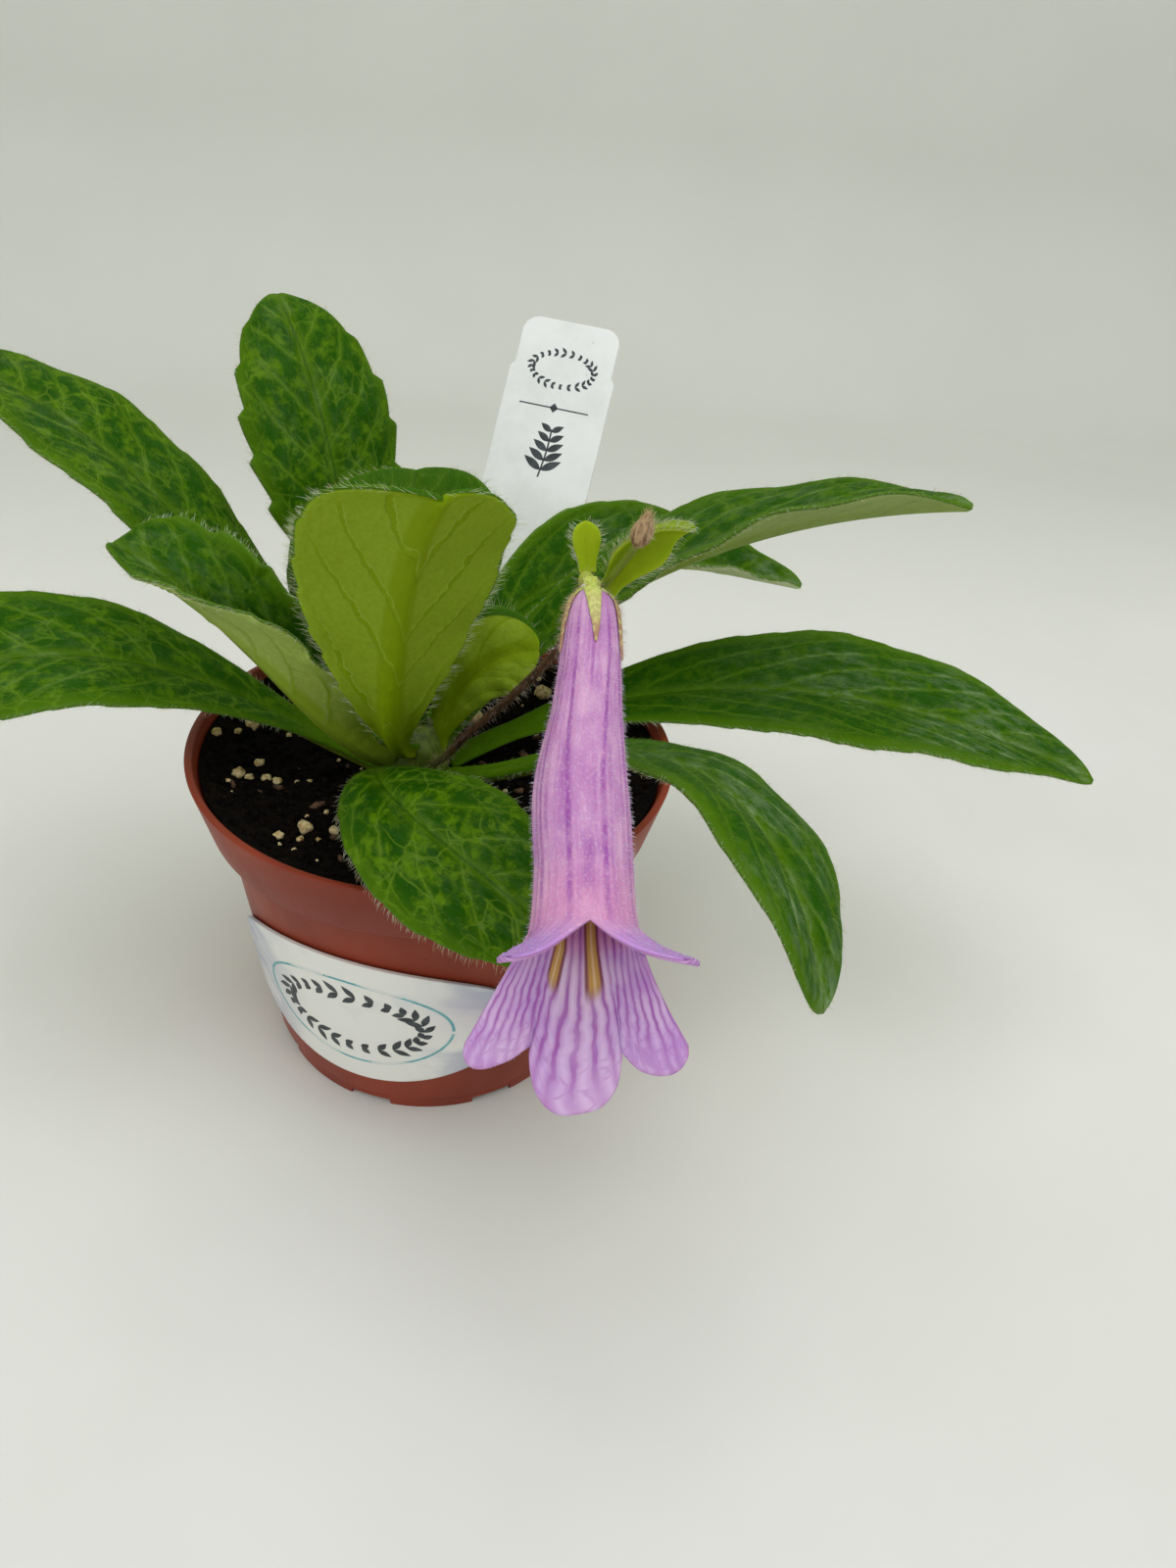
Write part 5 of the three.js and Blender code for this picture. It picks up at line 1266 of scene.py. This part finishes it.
def sprig_leaf(x, y, turn, length, width):
    """Outline of one printed leaf: a pointed oval."""
    s = np.linspace(0, 1, 9)
    edge = width / 2 * np.sin(math.pi * s ** 0.85)
    points = np.vstack([np.stack([s * length, edge], 1),
                        np.stack([s * length, -edge], 1)[-2:0:-1]])
    spin = np.array([[math.cos(turn), math.sin(turn)], [-math.sin(turn), math.cos(turn)]])
    return points @ spin + (x, y)


def ink_line(points, width):
    """Outline of a printed line."""
    points = np.asarray(points, float)
    way = np.gradient(points, axis=0)
    aside = np.stack([-way[:, 1], way[:, 0]], 1) / np.linalg.norm(way, axis=1, keepdims=True)
    return np.vstack([points + aside * width / 2, (points - aside * width / 2)[::-1]])


def garland(x, y, radius_x, radius_y, leaf_length, leaf_width, leaves):
    """Pointed leaves in pairs round an open oval."""
    shapes = []
    for k in range(leaves):
        a = 2 * math.pi * k / leaves
        middle = (x + radius_x * math.cos(a), y + radius_y * math.sin(a))
        ahead = math.atan2(radius_y * math.cos(a), -radius_x * math.sin(a))
        length = leaf_length * (0.8 + 0.25 * math.sin(5 * a))
        shapes += [sprig_leaf(*middle, ahead + splay, length, leaf_width)
                   for splay in (-0.75, 0.75)]
    return shapes


def printed(name, shapes, finish, place, slot, front, depth):
    """Ink shapes as very thin plates on a face."""
    forms = [ended([place(np.column_stack([shape, np.full(len(shape), z)]))
                    for z in (front, front + depth)]) for shape in shapes]
    made(name, gathered(forms), finish, sharp=25, slot=slot)


def ink(name, dark, light):
    finish = Finish(name, 0.45)
    finish.coat(dark)
    finish.coat(light, finish.noise(1.5, 3).rise(0.35, 0.7))
    return finish


def on_sprig(share):
    """A place along the stem of the printed sprig."""
    return 0.6 * math.sin(share * 2), 40.5 + 9 * share


slate_ink = ink("slate_ink", (34, 40, 44), (62, 72, 76))
tag_shapes = garland(0, 60.5, 5.8, 3.1, 1.3, 0.55, 24)
tag_shapes += [ink_line([[x, 53.4] for x in np.linspace(-6.5, 6.5, 20)], 0.25)]
tag_shapes += [np.array([[0, 54.3], [0.8, 53.4], [0, 52.5], [-0.8, 53.4]])]
tag_shapes += [ink_line([on_sprig(s) for s in np.linspace(0, 1, 20)], 0.3)]
for s in (0.15, 0.35, 0.55, 0.75, 0.95):
    tag_shapes += [sprig_leaf(*on_sprig(s), turn, 4.4 - 2 * s, 1.5 - 0.4 * s)
                   for turn in (0.55, math.pi - 0.55)]
printed("plant_tag_print", tag_shapes, slate_ink, on_tag, "tag_plastic", TAG_FACE, -0.025)

# ---- Pot label ----------------------------------------------------------------------------
# An oval paper label stuck to the body of the pot, in front to the left, with a soft wash of
# colour and a printed garland inside a thin ring.
LABEL_BEARING, LABEL_HALF_ANGLE, LABEL_MIDDLE, LABEL_HALF_HEIGHT = -114, 51, 22.5, 14.2
LABEL_RADIUS, LABEL_BACK, LABEL_EDGE, LABEL_FACE, LABEL_BEVEL = 30, -0.02, -0.5, -0.6, 0.993
BODY_FOOT, BODY_TOP = (27.3, 3.3), (33, 45.5)  # radius and height where the pot's body ends
PRINTED_RING = (15.8, 9.6)


def on_label(points):
    """From across, height and depth on the label to its place round the pot."""
    points = np.asarray(points, float)
    height = LABEL_MIDDLE + points[:, 1]
    body_radius = BODY_FOOT[0] + ((BODY_TOP[0] - BODY_FOOT[0]) * (height - BODY_FOOT[1])
                                  / (BODY_TOP[1] - BODY_FOOT[1]))
    angle = np.radians(LABEL_BEARING) + points[:, 0] / LABEL_RADIUS
    return ring(body_radius + 0.3 - points[:, 2], height, angle)


label_half = LABEL_RADIUS * math.radians(LABEL_HALF_ANGLE)
paper = Finish("label_paper", 0.4, 0.4)
ends = paper.field("across").rise(7, 22)
paper.coat((236, 236, 230))
paper.coat((176, 182, 198), paper.noise(14, 3, 0.5, bend=1.5).rise(0.32, 0.6) * ends)
paper.coat((200, 188, 206), paper.noise(17, 2).rise(0.45, 0.7) * ends * 0.5)
paper.coat((206, 214, 214), paper.noise(8, 2).rise(0.6, 0.75) * 0.4)
paper.set("Roughness", paper.noise(2, 3) * 0.2 + 0.3)
paper.relief(paper.noise(0.4, 3), 0.02, 0.5)
turns = circle(120)
label_rings = [
    np.column_stack([label_half * share * np.cos(turns), LABEL_HALF_HEIGHT * share * np.sin(turns),
                     np.full(120, depth)])
    for share, depth in ((1.0, LABEL_BACK), (1.0, LABEL_EDGE), (LABEL_BEVEL, LABEL_FACE))]
label_rings += [label_rings[2] * (share / LABEL_BEVEL, share / LABEL_BEVEL, 1)
                for share in np.linspace(0.95, 0.03, 24)]
label_rings = [line * (1, 1, 0) + (0, 0, LABEL_BACK) for line in label_rings[:2:-1]] + label_rings
across = np.concatenate([np.abs(line[:, 0]) for line in label_rings] + [[0, 0]])
made("pot_label_paper", lofted([on_label(line) for line in label_rings]), paper,
     {"across": across}, sharp=40, node="pot_label", slot="label_paper")
printed("pot_label_garland", garland(0, 0, 11.5, 6.2, 2.9, 1.15, 26), slate_ink, on_label,
        "label_paper", LABEL_FACE, -0.03)
teal_ink = ink("teal_ink", (96, 168, 176), (132, 188, 192))
oval = [[PRINTED_RING[0] * math.cos(a), PRINTED_RING[1] * math.sin(a)]
        for a in np.linspace(0, 2 * math.pi, 90)]
printed("pot_label_ring", [ink_line(oval[n * 11:n * 11 + 12], 0.45) for n in range(8)], teal_ink,
        on_label, "label_paper", LABEL_FACE, -0.03)

# ---- Floor, backdrop and light ------------------------------------------------------------
# A pale matt sweep of paper: floor, soft bend and wall, with painted shade darkening it well
# behind the plant. Large soft lights, one overhead.
BEND_START, BEND_RADIUS, WALL = 340, 100, 442
sweep = Finish("sweep_paper", 0.9, 0.1)
back = Shade(sweep, sweep.add("ShaderNodeSeparateXYZ", {"Vector": sweep.place}, 1))
sweep.coat((233, 234, 229))
# Painted shade: the sweep darkens further back, away from the lamps
sweep.coat((211, 213, 205), back.rise(0.1, 0.32))
sweep.coat((218, 220, 212), sweep.noise(60, 3).rise(0.3, 0.7) * 0.3)
profile = [(-1400, 0), (BEND_START, 0)]
profile += [(BEND_START + BEND_RADIUS * math.sin(a), BEND_RADIUS - BEND_RADIUS * math.cos(a))
            for a in np.linspace(0.1, math.pi / 2, 16)]
profile += [(WALL, 1500)]
floor_mesh = mesh_of("floor", [(x, y, z) for y, z in profile for x in (-1500, 1500)],
                     [[2 * k, 2 * k + 1, 2 * k + 3, 2 * k + 2] for k in range(len(profile) - 1)])
floor_mesh.materials.append(sweep.material)
floor_mesh.polygons.foreach_set("use_smooth", [True] * len(floor_mesh.polygons))
floor = placed("floor", floor_mesh)
floor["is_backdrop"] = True

for name, place, power, size in (("light_top", (0.1, -0.15, 0.9), 4.6, 0.9),
                                 ("light_left", (-0.8, -0.5, 0.6), 2.0, 0.7),
                                 ("light_front", (0.5, -0.9, 0.5), 1.6, 0.8)):
    lamp = placed(name, bpy.data.lights.new(name, "AREA"))
    lamp.data.energy, lamp.data.size = power, size
    lamp.location = place
    aim = Vector((0, 0, 0.05)) - Vector(place)
    lamp.rotation_euler = aim.to_track_quat("-Z", "Y").to_euler()
world = bpy.data.worlds.new("room")
world.use_nodes = True
world.node_tree.nodes["Background"].inputs["Color"].default_value = (0.99, 1, 0.975, 1)
world.node_tree.nodes["Background"].inputs["Strength"].default_value = 0.36
bpy.context.scene.world = world

visual_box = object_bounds()
